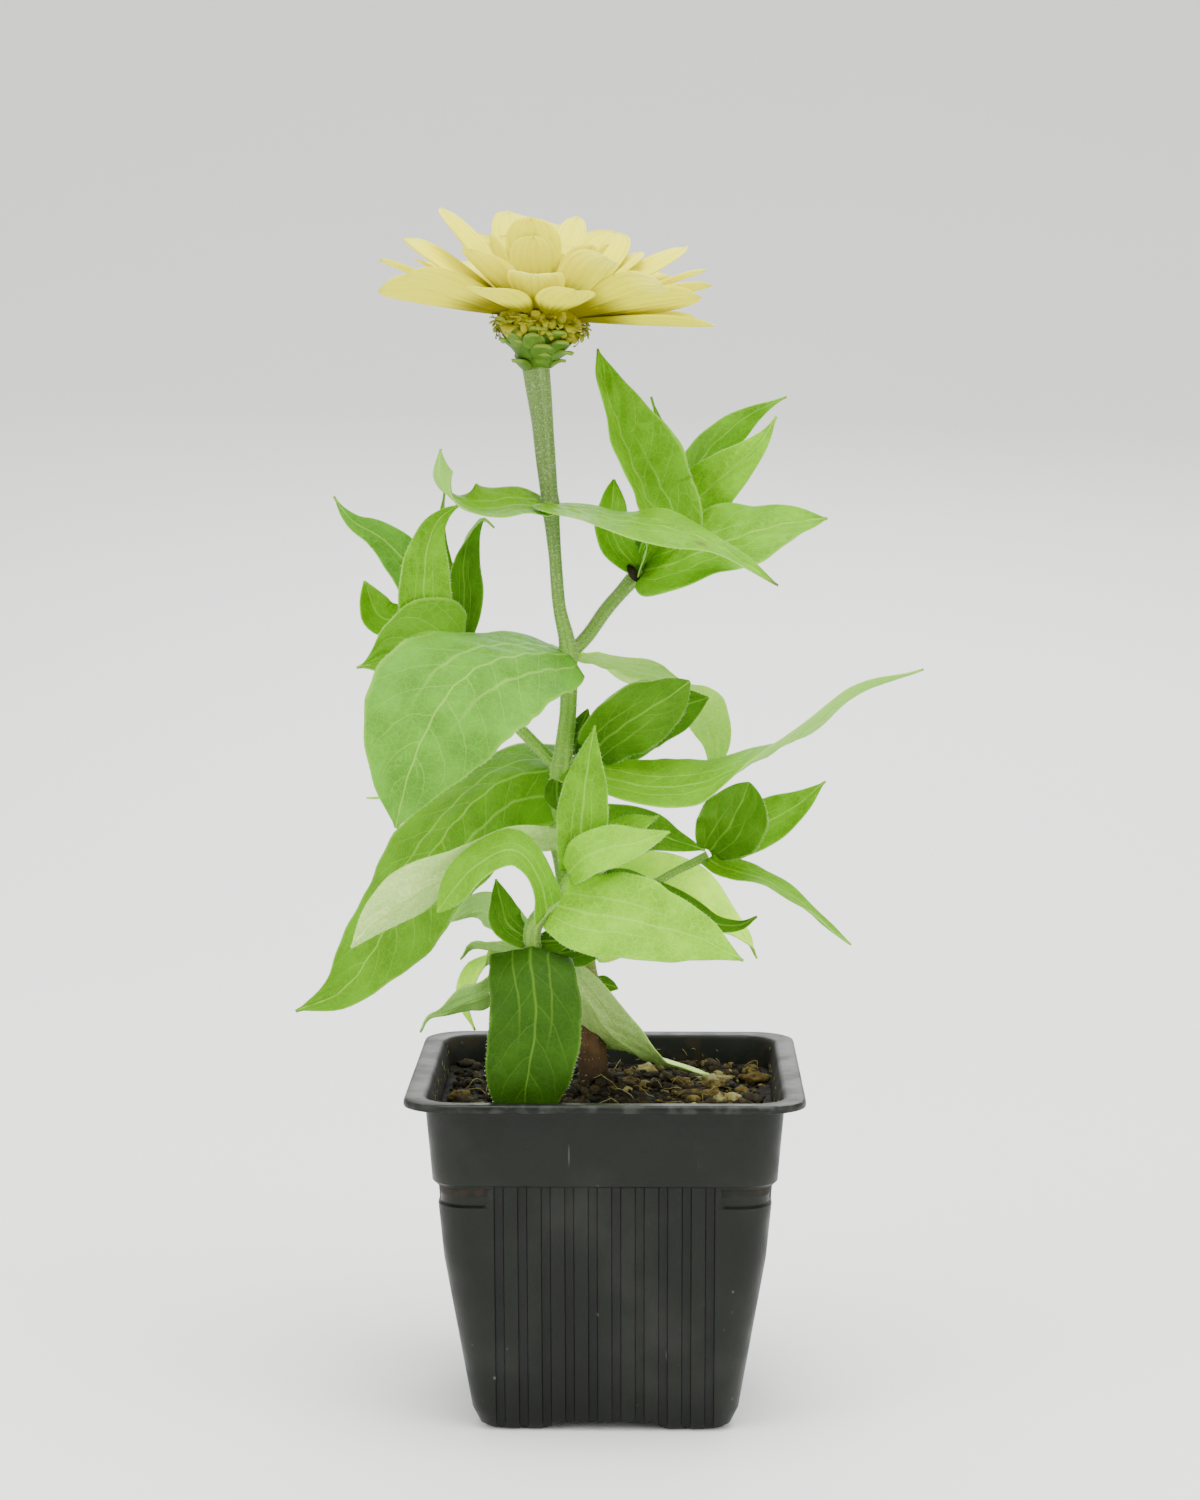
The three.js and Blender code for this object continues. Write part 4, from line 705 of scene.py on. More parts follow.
class Graph:
    """Adds nodes to one tree and links them."""

    def __init__(self, tree):
        self.tree = tree

    def node(self, kind, **settings):
        made = self.tree.nodes.new(kind)
        for key, value in settings.items():
            setattr(made, key, value)
        return made

    def feed(self, socket, value):
        """Links an output to a socket, or sets the socket's own value."""
        if isinstance(value, bpy.types.NodeSocket):
            self.tree.links.new(value, socket)
        else:
            socket.default_value = value

    def math(self, operation, *values, clamp=False):
        made = self.node("ShaderNodeMath", operation=operation, use_clamp=clamp)
        for socket, value in zip(made.inputs, values):
            self.feed(socket, value)
        return made.outputs[0]

    def times(self, *values, clamp=False):
        return self.math("MULTIPLY", *values, clamp=clamp)

    def plus(self, *values):
        return self.math("ADD", *values)

    def minus(self, *values):
        return self.math("SUBTRACT", *values)

    def absolute(self, value):
        return self.math("ABSOLUTE", value)

    def mix(self, share, low, high):
        """One colour that turns into another as the share grows."""
        made = self.node("ShaderNodeMix", data_type="RGBA")
        self.feed(made.inputs[0], share)
        for socket, value in ((made.inputs[6], low), (made.inputs[7], high)):
            self.feed(socket, value if isinstance(value, bpy.types.NodeSocket) else (*value[:3], 1))
        return made.outputs[2]

    def layer(self, face, colour, mask, strength):
        """A colour laid over a face where a mask is, with some strength."""
        return self.mix(self.times(mask, strength), face, colour)

    def finish(self, shader, face, normal=None, rough=None):
        """Feeds what varies over the surface to the shader."""
        for title, value in (("Base Color", face), ("Normal", normal), ("Roughness", rough)):
            if value is not None:
                self.feed(shader.inputs[title], value)

    def step(self, value, low, high, start=0.0, end=1.0):
        """A smooth step of a value from start, at low, to end, at high."""
        made = self.node("ShaderNodeMapRange", interpolation_type="SMOOTHSTEP")
        for socket, number in zip(made.inputs, (value, low, high, start, end)):
            self.feed(socket, number)
        return made.outputs[0]

    def noise(self, place, scale, detail=2.0, rough=0.5):
        made = self.node("ShaderNodeTexNoise")
        self.feed(made.inputs["Vector"], place)
        made.inputs["Scale"].default_value = scale
        made.inputs["Detail"].default_value = detail
        made.inputs["Roughness"].default_value = rough
        return made.outputs["Fac"]

    def net(self, place, scale):
        """Distance to the nearest edge of an irregular net of cells."""
        made = self.node("ShaderNodeTexVoronoi", feature="DISTANCE_TO_EDGE")
        self.feed(made.inputs["Vector"], place)
        self.feed(made.inputs["Scale"], scale)
        return made.outputs["Distance"]

    def object_place(self):
        return self.node("ShaderNodeTexCoord").outputs["Object"]

    def map_place(self, name):
        return self.node("ShaderNodeUVMap", uv_map=name).outputs[0]

    def split(self, vector):
        made = self.node("ShaderNodeSeparateXYZ")
        self.feed(made.inputs[0], vector)
        return made.outputs

    def stretch(self, vector, scale):
        made = self.node("ShaderNodeMapping")
        self.feed(made.inputs["Vector"], vector)
        made.inputs["Scale"].default_value = scale
        return made.outputs[0]

    def paint(self):
        """The three painted values of the surface."""
        made = self.node("ShaderNodeSeparateColor")
        source = self.node("ShaderNodeAttribute", attribute_name="paint")
        self.feed(made.inputs[0], source.outputs["Color"])
        return made.outputs

    def bump(self, height, distance, strength=1.0):
        made = self.node("ShaderNodeBump")
        made.inputs["Strength"].default_value = strength
        made.inputs["Distance"].default_value = distance * MM
        self.feed(made.inputs["Height"], height)
        return made.outputs["Normal"]


def new_group(name, inputs, outputs):
    """A shader node group with float and colour sockets, and the graph to fill it."""
    tree = bpy.data.node_groups.new(name, "ShaderNodeTree")
    kinds = {"f": "NodeSocketFloat", "c": "NodeSocketColor", "v": "NodeSocketVector"}
    for title, kind, value in inputs:
        socket = tree.interface.new_socket(title, in_out="INPUT", socket_type=kinds[kind])
        if value is not None:
            socket.default_value = value
    for title, kind in outputs:
        tree.interface.new_socket(title, in_out="OUTPUT", socket_type=kinds[kind])
    graph = Graph(tree)
    return graph, graph.node("NodeGroupInput").outputs, graph.node("NodeGroupOutput").inputs


def new_material(name, **values):
    """A material with one Principled shader that has the given plain values."""
    material = bpy.data.materials.new(name)
    material.use_nodes = True
    graph = Graph(material.node_tree)
    shader = material.node_tree.nodes["Principled BSDF"]
    for title, value in values.items():
        shader.inputs[title.replace("_", " ")].default_value = value
    return material, graph, shader


def use_group(graph, name, **values):
    """Places a shared node group with its own values."""
    made = graph.node("ShaderNodeGroup", node_tree=bpy.data.node_groups[name])
    for title, value in values.items():
        graph.feed(made.inputs[title.replace("_", " ")], value)
    return made.outputs


def toned(colour, factor, lift=0.0):
    """A lighter or darker tone of a colour."""
    return tuple(min(1.0, part * factor + lift) for part in colour)


def leaf_vein_group():
    """Midrib, side veins and net of a blade, from its two surface maps."""
    if "Leaf veins" in bpy.data.node_groups:
        return
    inputs = [("Spacing", "f", 7.5), ("Net", "f", 62.0)]
    g, given, out = new_group("Leaf veins", inputs, [("Main", "f"), ("Net", "f"), ("Height", "f")])
    u, s, _ = g.split(g.map_place("blade"))
    metric = g.map_place("metric")
    x, y, _ = g.split(metric)
    warp = g.times(g.minus(g.noise(metric, 12.0), 0.5), 0.9)
    side = g.absolute(g.math("MULTIPLY_ADD", u, 2.0, -1.0))
    wide = g.absolute(g.times(x, MAP_UNIT))
    down = g.times(y, MAP_UNIT)
    mid = g.step(wide, 0.12, g.math("MULTIPLY_ADD", s, -0.35, 0.62), 1.0, 0.0)
    lean = g.times(g.math("POWER", side, VEIN_CURVE), VEIN_SWEEP)
    phase = g.minus(g.math("DIVIDE", down, given["Spacing"]), lean)
    phase = g.plus(phase, g.times(warp, 0.55))
    phase = g.plus(phase, g.times(g.math("GREATER_THAN", u, 0.5), VEIN_LEAD))
    gap = g.absolute(g.minus(g.math("FRACT", phase), 0.5))
    gap = g.times(gap, given["Spacing"])
    fade = g.step(side, 0.55, 0.98, 1.0, 0.25)
    lateral = g.times(g.step(gap, 0.05, 0.3, 0.75, 0.0), fade)
    nerve_at = g.plus(g.math("MULTIPLY_ADD", s, -0.22, 0.46), g.times(warp, 0.12))
    nerve = g.absolute(g.minus(side, nerve_at))
    nerve = g.step(nerve, 0.005, 0.04, 1.0, 0.0)
    nerve = g.times(nerve, g.step(s, 0.35, 0.75, 0.85, 0.0))
    main = g.math("MAXIMUM", mid, g.math("MAXIMUM", g.times(lateral, 0.8), nerve))
    coarse = g.step(g.net(metric, given["Net"]), 0.0, 0.09, 1.0, 0.0)
    fine = g.step(g.net(metric, g.times(given["Net"], 2.4)), 0.0, 0.1, 0.6, 0.0)
    net = g.math("MAXIMUM", coarse, fine)
    g.feed(out["Main"], main)
    g.feed(out["Net"], net)
    g.feed(out["Height"], g.math("MULTIPLY_ADD", net, -0.35, g.times(main, -0.65)))


def leaf_material(look, settings):
    """Leaf with its net of veins, paler underside and tip, and small stains."""
    name = f"leaf_{look}"
    if name in bpy.data.materials:
        return bpy.data.materials[name]
    leaf_vein_group()
    material, g, shader = new_material(
        name, Roughness=0.52, Subsurface_Weight=0.15, Subsurface_Scale=0.8 * MM,
        Subsurface_Radius=(0.6, 1.0, 0.15), Specular_IOR_Level=0.1)
    upper = getattr(settings, look)
    veins = use_group(g, "Leaf veins", Spacing=settings.vein_step / MM)
    under, age, random = g.paint()[:3]
    metric = g.map_place("metric")
    u, s, _ = g.split(g.map_place("blade"))
    cloud = g.noise(metric, 9.0, 3.0)
    light = toned(upper, 1.32)
    base = g.mix(g.step(cloud, 0.3, 0.72), toned(upper, 0.72), light)
    base = g.layer(base, light, random, 0.35)
    face = g.layer(base, settings.under, under, 0.62)
    face = g.layer(face, toned(upper, 1.6, 0.003), veins["Net"], 0.45)
    vein_share = {"dark": 0.13, "deep": 0.27}.get(look, 0.42)
    face = g.layer(face, settings.vein, veins["Main"], vein_share)
    margin = g.step(g.absolute(g.math("MULTIPLY_ADD", u, 2.0, -1.0)), 0.93, 1.0)
    face = g.layer(face, settings.vein, margin, vein_share)
    face = g.layer(face, settings.dry, age, 0.8)
    stain = g.step(g.noise(metric, 26.0, 2.0), 0.76, 0.82)
    face = g.layer(face, linear("6E6A2A"), stain, 0.35)
    rough = g.step(g.noise(metric, 60.0), 0.3, 0.7, 0.44, 0.62)
    g.finish(shader, face, g.bump(veins["Height"], 0.16, 0.9), rough)
    return material


def stem_material(settings):
    """Green ridged stem that turns woody near the soil, with darker streaks."""
    material, g, shader = new_material(
        "green_stem", Roughness=0.6, Subsurface_Weight=0.12, Subsurface_Scale=0.8 * MM,
        Subsurface_Radius=(0.6, 1.0, 0.2), Sheen_Weight=0.05, Specular_IOR_Level=0.16)
    place = g.object_place()
    height = g.split(place)[2]
    blade = g.map_place("blade")
    streak = g.noise(g.stretch(blade, (14, 2.5, 1)), 1.0, 3.0)
    green = g.mix(g.step(height, 0.150, 0.215), settings.middle, settings.upper)
    dark = g.mix(0.45, green, (0.05, 0.1, 0.02))
    furrow = g.math("COSINE", g.times(g.split(blade)[0], 2 * math.pi * STEM_RIDGES))
    furrow = g.math("MULTIPLY_ADD", g.noise(place, 160.0), 1.2, g.times(furrow, -0.5))
    green = g.mix(g.step(furrow, 0.45, 1.1, 0.0, 0.75), green, dark)
    green = g.mix(g.step(streak, 0.45, 0.66, 0.0, 0.5), green, dark)
    speck = g.noise(place, 2600.0, 2.0)
    green = g.mix(g.step(speck, 0.5, 0.75, 0.0, 0.35), green, linear("C9D7A4"))
    bark = g.mix(g.step(g.noise(place, 420.0, 4.0), 0.35, 0.7), settings.wood, linear("4E3A22"))
    woody = g.plus(height, g.times(g.noise(place, 90.0), 0.02))
    main_only = g.paint()[1]
    share = g.times(g.step(woody, 0.118, 0.106), main_only)
    bark = g.mix(g.step(height, 0.074, 0.088, 0.9, 0.0), bark, linear("1C150C"))
    g.finish(shader, g.mix(share, green, bark), g.bump(streak, 0.12, 0.6))
    return material


def hair_material(settings):
    """Fine pale translucent hairs."""
    material, g, shader = new_material(
        "pale_hair", Roughness=0.6, Subsurface_Weight=0.3, Subsurface_Scale=0.3 * MM)
    tone = g.noise(g.object_place(), 300.0)
    g.finish(shader, g.mix(g.step(tone, 0.3, 0.7), settings.hair_colour, linear("C4D3A6")))
    return material


def petal_material(settings):
    """Lemon petal with fine lengthwise streaks, a cream tip, painted shade over its lower half, and an
    olive claw that is partly painted shade deep in the head.
    """
    material, g, shader = new_material(
        "lemon_petal", Roughness=0.6, Subsurface_Weight=0.1, Subsurface_Scale=0.9 * MM,
        Subsurface_Radius=(1.0, 0.9, 0.1), Specular_IOR_Level=0.03)
    blade = g.map_place("blade")
    s = g.split(blade)[1]
    under, random, cream = g.paint()[:3]
    streak = g.noise(g.stretch(blade, (22, 1.4, 1)), 1.0, 3.0, 0.6)
    fine = g.noise(g.stretch(blade, (70, 2.2, 1)), 1.0, 2.0)
    lemon = g.layer(settings.lemon, settings.cream, random, 0.4)
    face = g.mix(g.step(s, 0.75, 1.0, 0.0, 0.5), lemon, settings.cream)
    # Painted shade: the lower half of each petal darkens towards the underside colour, deep in the head
    face = g.mix(g.step(s, 0.3, 0.8, 0.5, 0.0), face, settings.back)
    face = g.layer(face, settings.back, under, 0.62)
    face = g.layer(face, settings.cream, cream, 0.8)
    face = g.mix(g.step(streak, 0.4, 0.64, 0.0, 0.55), face, settings.back)
    face = g.mix(g.step(fine, 0.52, 0.75, 0.0, 0.22), face, settings.olive)
    # The olive claw is partly its own colour and partly painted shade, deepest at the base
    claw_and_shade = g.plus(s, g.times(streak, 0.16))
    face = g.mix(g.step(claw_and_shade, 0.3, 0.62, 0.96, 0.0), face, settings.olive)
    g.finish(shader, face, g.bump(g.math("MULTIPLY_ADD", fine, 0.5, streak), 0.14, 0.7))
    return material


def bract_material(settings):
    """Green bract with a dry yellow-brown edge."""
    material, g, shader = new_material(
        "green_bract", Roughness=0.6, Subsurface_Weight=0.12, Subsurface_Scale=0.6 * MM,
        Subsurface_Radius=(0.7, 1.0, 0.2), Specular_IOR_Level=0.2)
    s = g.split(g.map_place("blade"))[1]
    _, random, dry = g.paint()[:3]
    place = g.object_place()
    tone = g.noise(place, 380.0, 3.0)
    green = g.mix(g.step(tone, 0.35, 0.7), settings.bract, linear("5F8420"))
    green = g.layer(green, linear("35560F"), random, 0.75)
    edge = g.plus(s, g.times(tone, 0.25))
    face = g.mix(g.step(edge, 0.82, 1.06), green, settings.bract_edge)
    face = g.mix(dry, face, settings.withered)
    g.finish(shader, face, g.bump(g.noise(place, 900.0, 3.0), 0.15, 0.6))
    return material


def floret_material(settings):
    """Golden brown florets with darker pits."""
    material, g, shader = new_material("golden_floret", Roughness=0.75)
    tone = g.noise(g.object_place(), 700.0, 3.0)
    g.finish(shader, g.mix(tone, settings.floret, linear("6B5418")), g.bump(tone, 0.2))
    return material


def dust_group():
    """Specks of dust and short dried scratches, as a mask."""
    if "Dust" in bpy.data.node_groups:
        return
    g, given, out = new_group("Dust", [("Amount", "f", 0.5)], [("Mask", "f"), ("Grain", "f")])
    place = g.object_place()
    speck = g.node("ShaderNodeTexVoronoi", feature="F1")
    g.feed(speck.inputs["Vector"], place)
    speck.inputs["Scale"].default_value = 190.0
    where = g.step(g.noise(place, 55.0, 2.0), 0.5, 0.72)
    dot = g.times(g.step(speck.outputs["Distance"], 0.03, 0.1, 1.0, 0.0), where)
    scratch = g.noise(g.stretch(place, (420, 420, 45)), 1.0, 2.0)
    scratch = g.times(g.step(scratch, 0.73, 0.8), g.step(g.noise(place, 30.0), 0.5, 0.66))
    film = g.step(g.noise(place, 38.0, 4.0), 0.45, 0.8, 0.0, 0.16)
    mask = g.plus(g.math("MAXIMUM", dot, g.times(scratch, 0.6)), film)
    g.feed(out["Mask"], g.times(mask, given["Amount"], clamp=True))
    g.feed(out["Grain"], g.noise(place, 1500.0, 2.0))


def plastic_material(settings):
    """Satin moulded plastic with dust, soil stains on its inner walls, painted shade in its grooves,
    and wear with a painted highlight on its lip.
    """
    dust_group()
    material, g, shader = new_material("moulded_plastic", Roughness=0.42, Specular_IOR_Level=0.19)
    dust = use_group(g, "Dust", Amount=0.6)
    inside, groove, lip = g.paint()[:3]
    place = g.object_place()
    tone = g.step(g.noise(place, 60.0, 3.0), 0.3, 0.75)
    face = g.mix(tone, settings.plastic, toned(settings.plastic, 1.35))
    soiled = g.step(g.noise(place, 210.0, 4.0), 0.48, 0.62, 0.0, 0.85)
    face = g.layer(face, linear("241C10"), soiled, inside)
    # Painted shade: near black laid into the grooves, darkest near their edges
    face = g.layer(face, linear("080908"), groove, 0.85)
    # Pale grey streaks on the lip: partly wear, partly a painted highlight along the rim
    wear_and_highlight = g.times(g.step(g.noise(place, 260.0, 4.0), 0.46, 0.64), lip)
    face = g.layer(face, settings.dust, wear_and_highlight, 0.1)
    face = g.layer(face, settings.dust, dust["Mask"], 0.6)
    rough = g.step(g.noise(place, 120.0, 3.0), 0.3, 0.7, 0.34, 0.5)
    rough = g.plus(rough, g.times(inside, 0.25))
    g.finish(shader, face, g.bump(dust["Grain"], 0.06, 0.5), rough)
    return material


def compost_material(settings):
    """Peat, bark and crust, mixed by the painted values of each lump."""
    material, g, shader = new_material("compost", Roughness=0.9, Specular_IOR_Level=0.2)
    bark, crust, random = g.paint()[:3]
    place = g.object_place()
    tone = g.noise(place, 520.0, 4.0, 0.65)
    peat = g.mix(g.step(tone, 0.35, 0.72), toned(settings.peat, 0.4), settings.peat)
    golden = g.mix(g.step(tone, 0.3, 0.68), linear("2E200C"), settings.bark)
    face = g.mix(bark, peat, golden)
    pale = g.mix(g.step(tone, 0.35, 0.6), linear("7A6A30"), settings.crust)
    face = g.mix(crust, face, pale)
    face = g.layer(face, linear("30261A"), random, 0.25)
    g.finish(shader, face, g.bump(tone, 0.5))
    return material


# Leaves


def width_share(shape, shares):
    """Share of a blade's half width along it: its base, its widest place and its taper."""
    base, widest, taper = shape
    rising = base + (1 - base) * np.sin(math.pi / 2 * np.minimum(shares / widest, 1)) ** 0.8
    past = np.clip((shares - widest) / (1 - widest), 0, 1)
    falling = np.maximum(np.cos(math.pi / 2 * past), 0) ** taper
    return np.where(shares < widest, rising, falling)


def blade_grid(leaf, rows, columns, draws, step):
    """Middle surface of a waved and veined leaf, with its places across and along."""
    shares = np.linspace(0, 1, rows + 1)
    centre, ahead, long = even_curve(leaf["rib"], shares)
    across = rows_along(leaf["across"], shares)
    across = unit(across - ahead * np.sum(across * ahead, axis=1, keepdims=True))
    face = np.cross(across, ahead)
    half = np.maximum(leaf["half"] * width_share(leaf["shape"], shares), TIP_HALF)
    fold = np.radians(np.interp(shares, [0, 1], leaf["fold"]))
    u = np.linspace(-1, 1, columns + 1)
    u = np.sign(u) * np.abs(u) ** 0.9
    s, side = np.meshgrid(shares, u, indexing="ij")
    big = min(leaf["half"] / 10, 1.6)
    rise = np.sqrt(side ** 2 + 0.006) - 0.0775 * (1 - np.abs(side))
    lift = rise * (half * np.sin(fold))[:, None]
    width = half[:, None] * side
    # Margins that wave, each in its own rhythm, and a soft bend of the middle
    turns = [draws.between(0, 6.28) for _ in range(4)]
    swing = draws.between(2.2, 3.4)
    edge = np.where(side < 0, np.sin(swing * 6.28 * s + turns[0]), np.sin(swing * 5.6 * s + turns[1]))
    lift = lift + edge * np.abs(side) ** 2.6 * 0.75 * big * np.sin(math.pi * np.clip(s, 0, 1)) ** 0.7
    lift = lift + 0.5 * big * np.sin(9 * s + turns[2]) * (1 - side ** 2) * 0.4
    # Low quilting between the side veins, and a furrow along the midrib
    phase = s * long / step - VEIN_SWEEP * np.abs(side) ** VEIN_CURVE + np.where(side > 0, VEIN_LEAD, 0)
    gap = np.abs(phase - np.floor(phase) - 0.5) * step
    quilt = np.cos(np.clip(gap / step, 0, 0.5) * 2 * math.pi)
    lift = lift - 0.24 * big * quilt * np.clip(1.15 - np.abs(side), 0, 1) * np.sin(math.pi * s) ** 0.5
    lift = lift - 0.3 * big * np.exp(-(width / 0.9) ** 2) * np.clip(1 - s, 0, 1) ** 0.5
    # A slightly uneven outline
    margin = 1 + 0.012 * np.sin(40 * s * long / 50 + turns[3]) * np.abs(side)
    grid = centre[:, None] + across[:, None] * (width * np.cos(fold)[:, None] * margin)[..., None]
    grid = grid + face[:, None] * lift[..., None]
    blade = np.stack([side / 2 + 0.5, s], axis=-1)
    metric = np.stack([width / MAP_UNIT, s * long / MAP_UNIT], axis=-1)
    return grid, blade, metric


def add_leaf(shape, leaf, size, draws, settings):
    """Adds one leaf, thicker along its midrib, and gives its margins back for their hairs."""
    rows, columns = size
    grid, blade, metric = blade_grid(leaf, rows, columns, draws, settings.vein_step / MM)
    side = np.abs(blade[..., 0] * 2 - 1)
    s = blade[..., 1]
    thickness = settings.thickness / MM * (1 - 0.55 * side ** 4)
    midrib = np.exp(-(metric[..., 0] * MAP_UNIT / 0.75) ** 2)
    thickness = thickness + 1.1 * midrib * (1 - s) ** 0.8
    marks = LEAF_MARKS.get(leaf.get("name"), {})
    age = np.clip((s - marks.get("dry_from", 1.1)) / 0.05, 0, 1)
    for across, along in marks.get("spots", ()):
        far = ((blade[..., 0] - across) * 2 * leaf["half"]) ** 2
        far = far + (metric[..., 1] * MAP_UNIT - along) ** 2
        age = np.maximum(age, np.clip(1.8 - far / 1.6, 0, 1))
    add_sheet(shape, grid, thickness, blade, metric, painted(s, 0, age, draws.next()))
    centre = grid[:, columns // 2]
    return [(edge, unit(edge - centre)) for edge in (grid[:, 0], grid[:, -1])]


# Stems


def stem_spots(stem, steps):
    """Centre line and radius of a stem at even steps."""
    shares = np.linspace(0, 1, steps + 1)
    spots, ahead = smooth_curve(stem["path"], shares)
    if stem is MAIN_STEM:
        spots = np.vstack([spots, spots[-1] + 0.9 * ahead[-1]])
        shares = np.append(shares, 1.0)
    marks = np.linspace(0, 1, len(stem["radius"]))
    return spots, np.interp(shares, marks, stem["radius"])


def stem_piece(stem, material, draws, steps):
    """Builds a ridged stem, a little swollen at its nodes, and gives its hairs' roots and ways."""
    shape = Shape()
    spots, radii = stem_spots(stem, steps)
    main = stem is MAIN_STEM
    if main:
        for node in STEM_NODES:
            radii = radii + 0.35 * np.exp(-((spots[:, 2] - node) / 2.2) ** 2)
    radii = radii * (1 + 0.05 * wave(spots, 9, 2))
    paint = (0, 1.0 if main else 0.0, draws.next())
    sides = MAIN_SIDES if main else SHOOT_SIDES
    roots, ways = add_tube(shape, spots, radii, sides, paint, RIDGE_DEPTH)
    shape.build(stem["name"] + "_green", material, [stem["name"]])
    return roots, ways


# Bloom


def petal_width(shares):
    """Share of a petal's half width: a narrow claw, widest past the middle, a round tip."""
    widest = 0.66
    rising = 0.16 + 0.84 * np.sin(math.pi / 2 * np.minimum(shares / widest, 1))
    falling = np.sqrt(np.maximum(1 - (np.clip(shares - widest, 0, 1) / (1 - widest)) ** 2.3, 0.003))
    return np.where(shares < widest, rising, falling)


def petal_root(rise):
    """Radius and height at which a petal leaves the head: the steeper it is, the further in."""
    share = rise / 90
    return {"root": 7.6 + (3.6 - 7.6) * share, "height": 11.4 + (15.5 - 11.4) * share}


def petal_list():
    """Every ray petal of the bloom, as in the solids, with small seeded differences."""
    draws = Draws(SEED + 9)
    petals = [{**petal, "cup": 0.18, **petal_root(petal["rise"])} for petal in OUTLINE_PETALS]
    for ring in PETAL_RINGS:
        for i in range(ring["count"]):
            rise = ring["rise"] + draws.between(-4, 4)
            share = i / (ring["count"] - 1)
            petals.append({
                "turn": ring["from"] + (ring["to"] - ring["from"]) * share + draws.between(-4, 4),
                "rise": rise,
                "curl": draws.between(-4, 4),
                "hook": draws.between(-10, 4),
                "length": ring["length"] * draws.between(0.92, 1.04),
                "half": ring["half"] * draws.between(0.9, 1.05),
                "roll": draws.between(-8, 8),
                "cup": draws.between(0.12, 0.25),
                **petal_root(rise),
            })
    return petals


def turned(points, degrees, axis):
    """Points turned about the z axis, or about the y axis."""
    c, s = math.cos(math.radians(degrees)), math.sin(math.radians(degrees))
    x, y, z = points[..., 0], points[..., 1], points[..., 2]
    if axis == "z":
        return np.stack([x * c - y * s, x * s + y * c, z], axis=-1)
    return np.stack([x * c + z * s, y, z * c - x * s], axis=-1)


def on_head(points):
    """Points of the bloom's own frame, in the frame of the plant."""
    return turned(points, HEAD_TILT, "y") + HEAD_BASE


def bent_line(reach, height, slope, step):
    """Reach and height along a line that sets out from a place and has a slope at each step."""
    return (start + np.concatenate([[0], np.cumsum(step * part(slope[:-1]))])
            for start, part in ((reach, np.cos), (height, np.sin)))


def petal_grid(petal, rows, columns, draws):
    """Middle surface of a ray petal with two furrows, a cupped section and a waved margin."""
    s = np.linspace(0, 1, rows + 1)
    hook = petal["hook"] * np.maximum(0, (s - 0.65) / 0.35)
    slope = np.radians(petal["rise"] + petal["curl"] * s + hook)
    reach, height = bent_line(petal["root"], petal["height"], slope, petal["length"] / rows)
    zero = np.zeros_like(s)
    spine = np.stack([reach, zero, height], axis=-1)
    face = np.stack([-np.sin(slope), zero, np.cos(slope)], axis=-1)
    side = np.array([0.0, 1.0, 0.0])
    roll = math.radians(petal["roll"])
    over = side * math.cos(roll) + face * math.sin(roll)
    out = face * math.cos(roll) - side * math.sin(roll)
    half = PETAL_FULLNESS * petal["half"] * petal_width(s)
    u = np.linspace(1, -1, columns + 1)
    width = half[:, None] * u[None, :]
    lift = petal["cup"] * half[:, None] * u[None, :] ** 2
    # Fine ridges with two deeper furrows, a waved margin and a small notch in the tip
    ridges = np.cos(7 * math.pi * u)[None, :] + 1.2 * np.exp(-((np.abs(u) - 0.36) / 0.1) ** 2)[None, :]
    lift = lift - 0.15 * ridges * np.sin(math.pi * np.clip(s * 0.96 + 0.02, 0, 1))[:, None] ** 0.6
    turn = draws.between(0, 6.28)
    ripple = np.sin(7 * s[:, None] + turn + 2.5 * u[None, :]) * np.abs(u[None, :]) ** 2
    lift = lift + 0.3 * ripple * s[:, None]
    notch = 0.8 * np.exp(-(u / 0.22) ** 2)[None, :] * (s[:, None] > 0.9) * (s[:, None] - 0.9) * 10
    grid = spine[:, None] + over[:, None] * width[..., None] + out[:, None] * lift[..., None]
    along = np.stack([np.cos(slope), zero, np.sin(slope)], axis=-1)
    grid = grid - along[:, None] * notch[..., None]
    grid = turned(grid, petal["turn"], "z")
    places = np.stack(np.meshgrid((1 - u) / 2, s), axis=-1)
    return grid, places


def add_petals(shape, settings, draws):
    """Adds all ray petals, and the core that they grow from."""
    for petal in petal_list():
        grid, places = petal_grid(petal, *PETAL_GRID, draws)
        u, s = np.abs(places[..., 0] * 2 - 1), places[..., 1]
        thickness = settings.petal / MM * (1 - 0.5 * u ** 4) * (1 - 0.3 * s)
        curled = 1.0 if petal["hook"] < CURLED_HOOK else 0.0
        cream = curled * np.clip((s - 0.68) / 0.2, 0, 1)
        add_sheet(shape, on_head(grid), thickness, places, places, painted(s, 0, draws.next(), cream))
    add_lathe(shape, CORE, 40, 0.1)


def add_lathe(shape, profile, sides, along, paint=(0, 0, 0)):
    """Adds a closed turned body of the bloom's own frame, at one place along the surface maps."""
    turns = np.linspace(0, 2 * math.pi, sides, endpoint=False)
    rows = np.array([[[r * math.cos(t), r * math.sin(t), z] for t in turns] for r, z in profile])
    places = np.full((rows.size // 3, 2), along)
    faces = closed_faces(len(profile), sides, flip=True)
    shape.add(on_head(rows.reshape(-1, 3)), faces, places, places, paint)


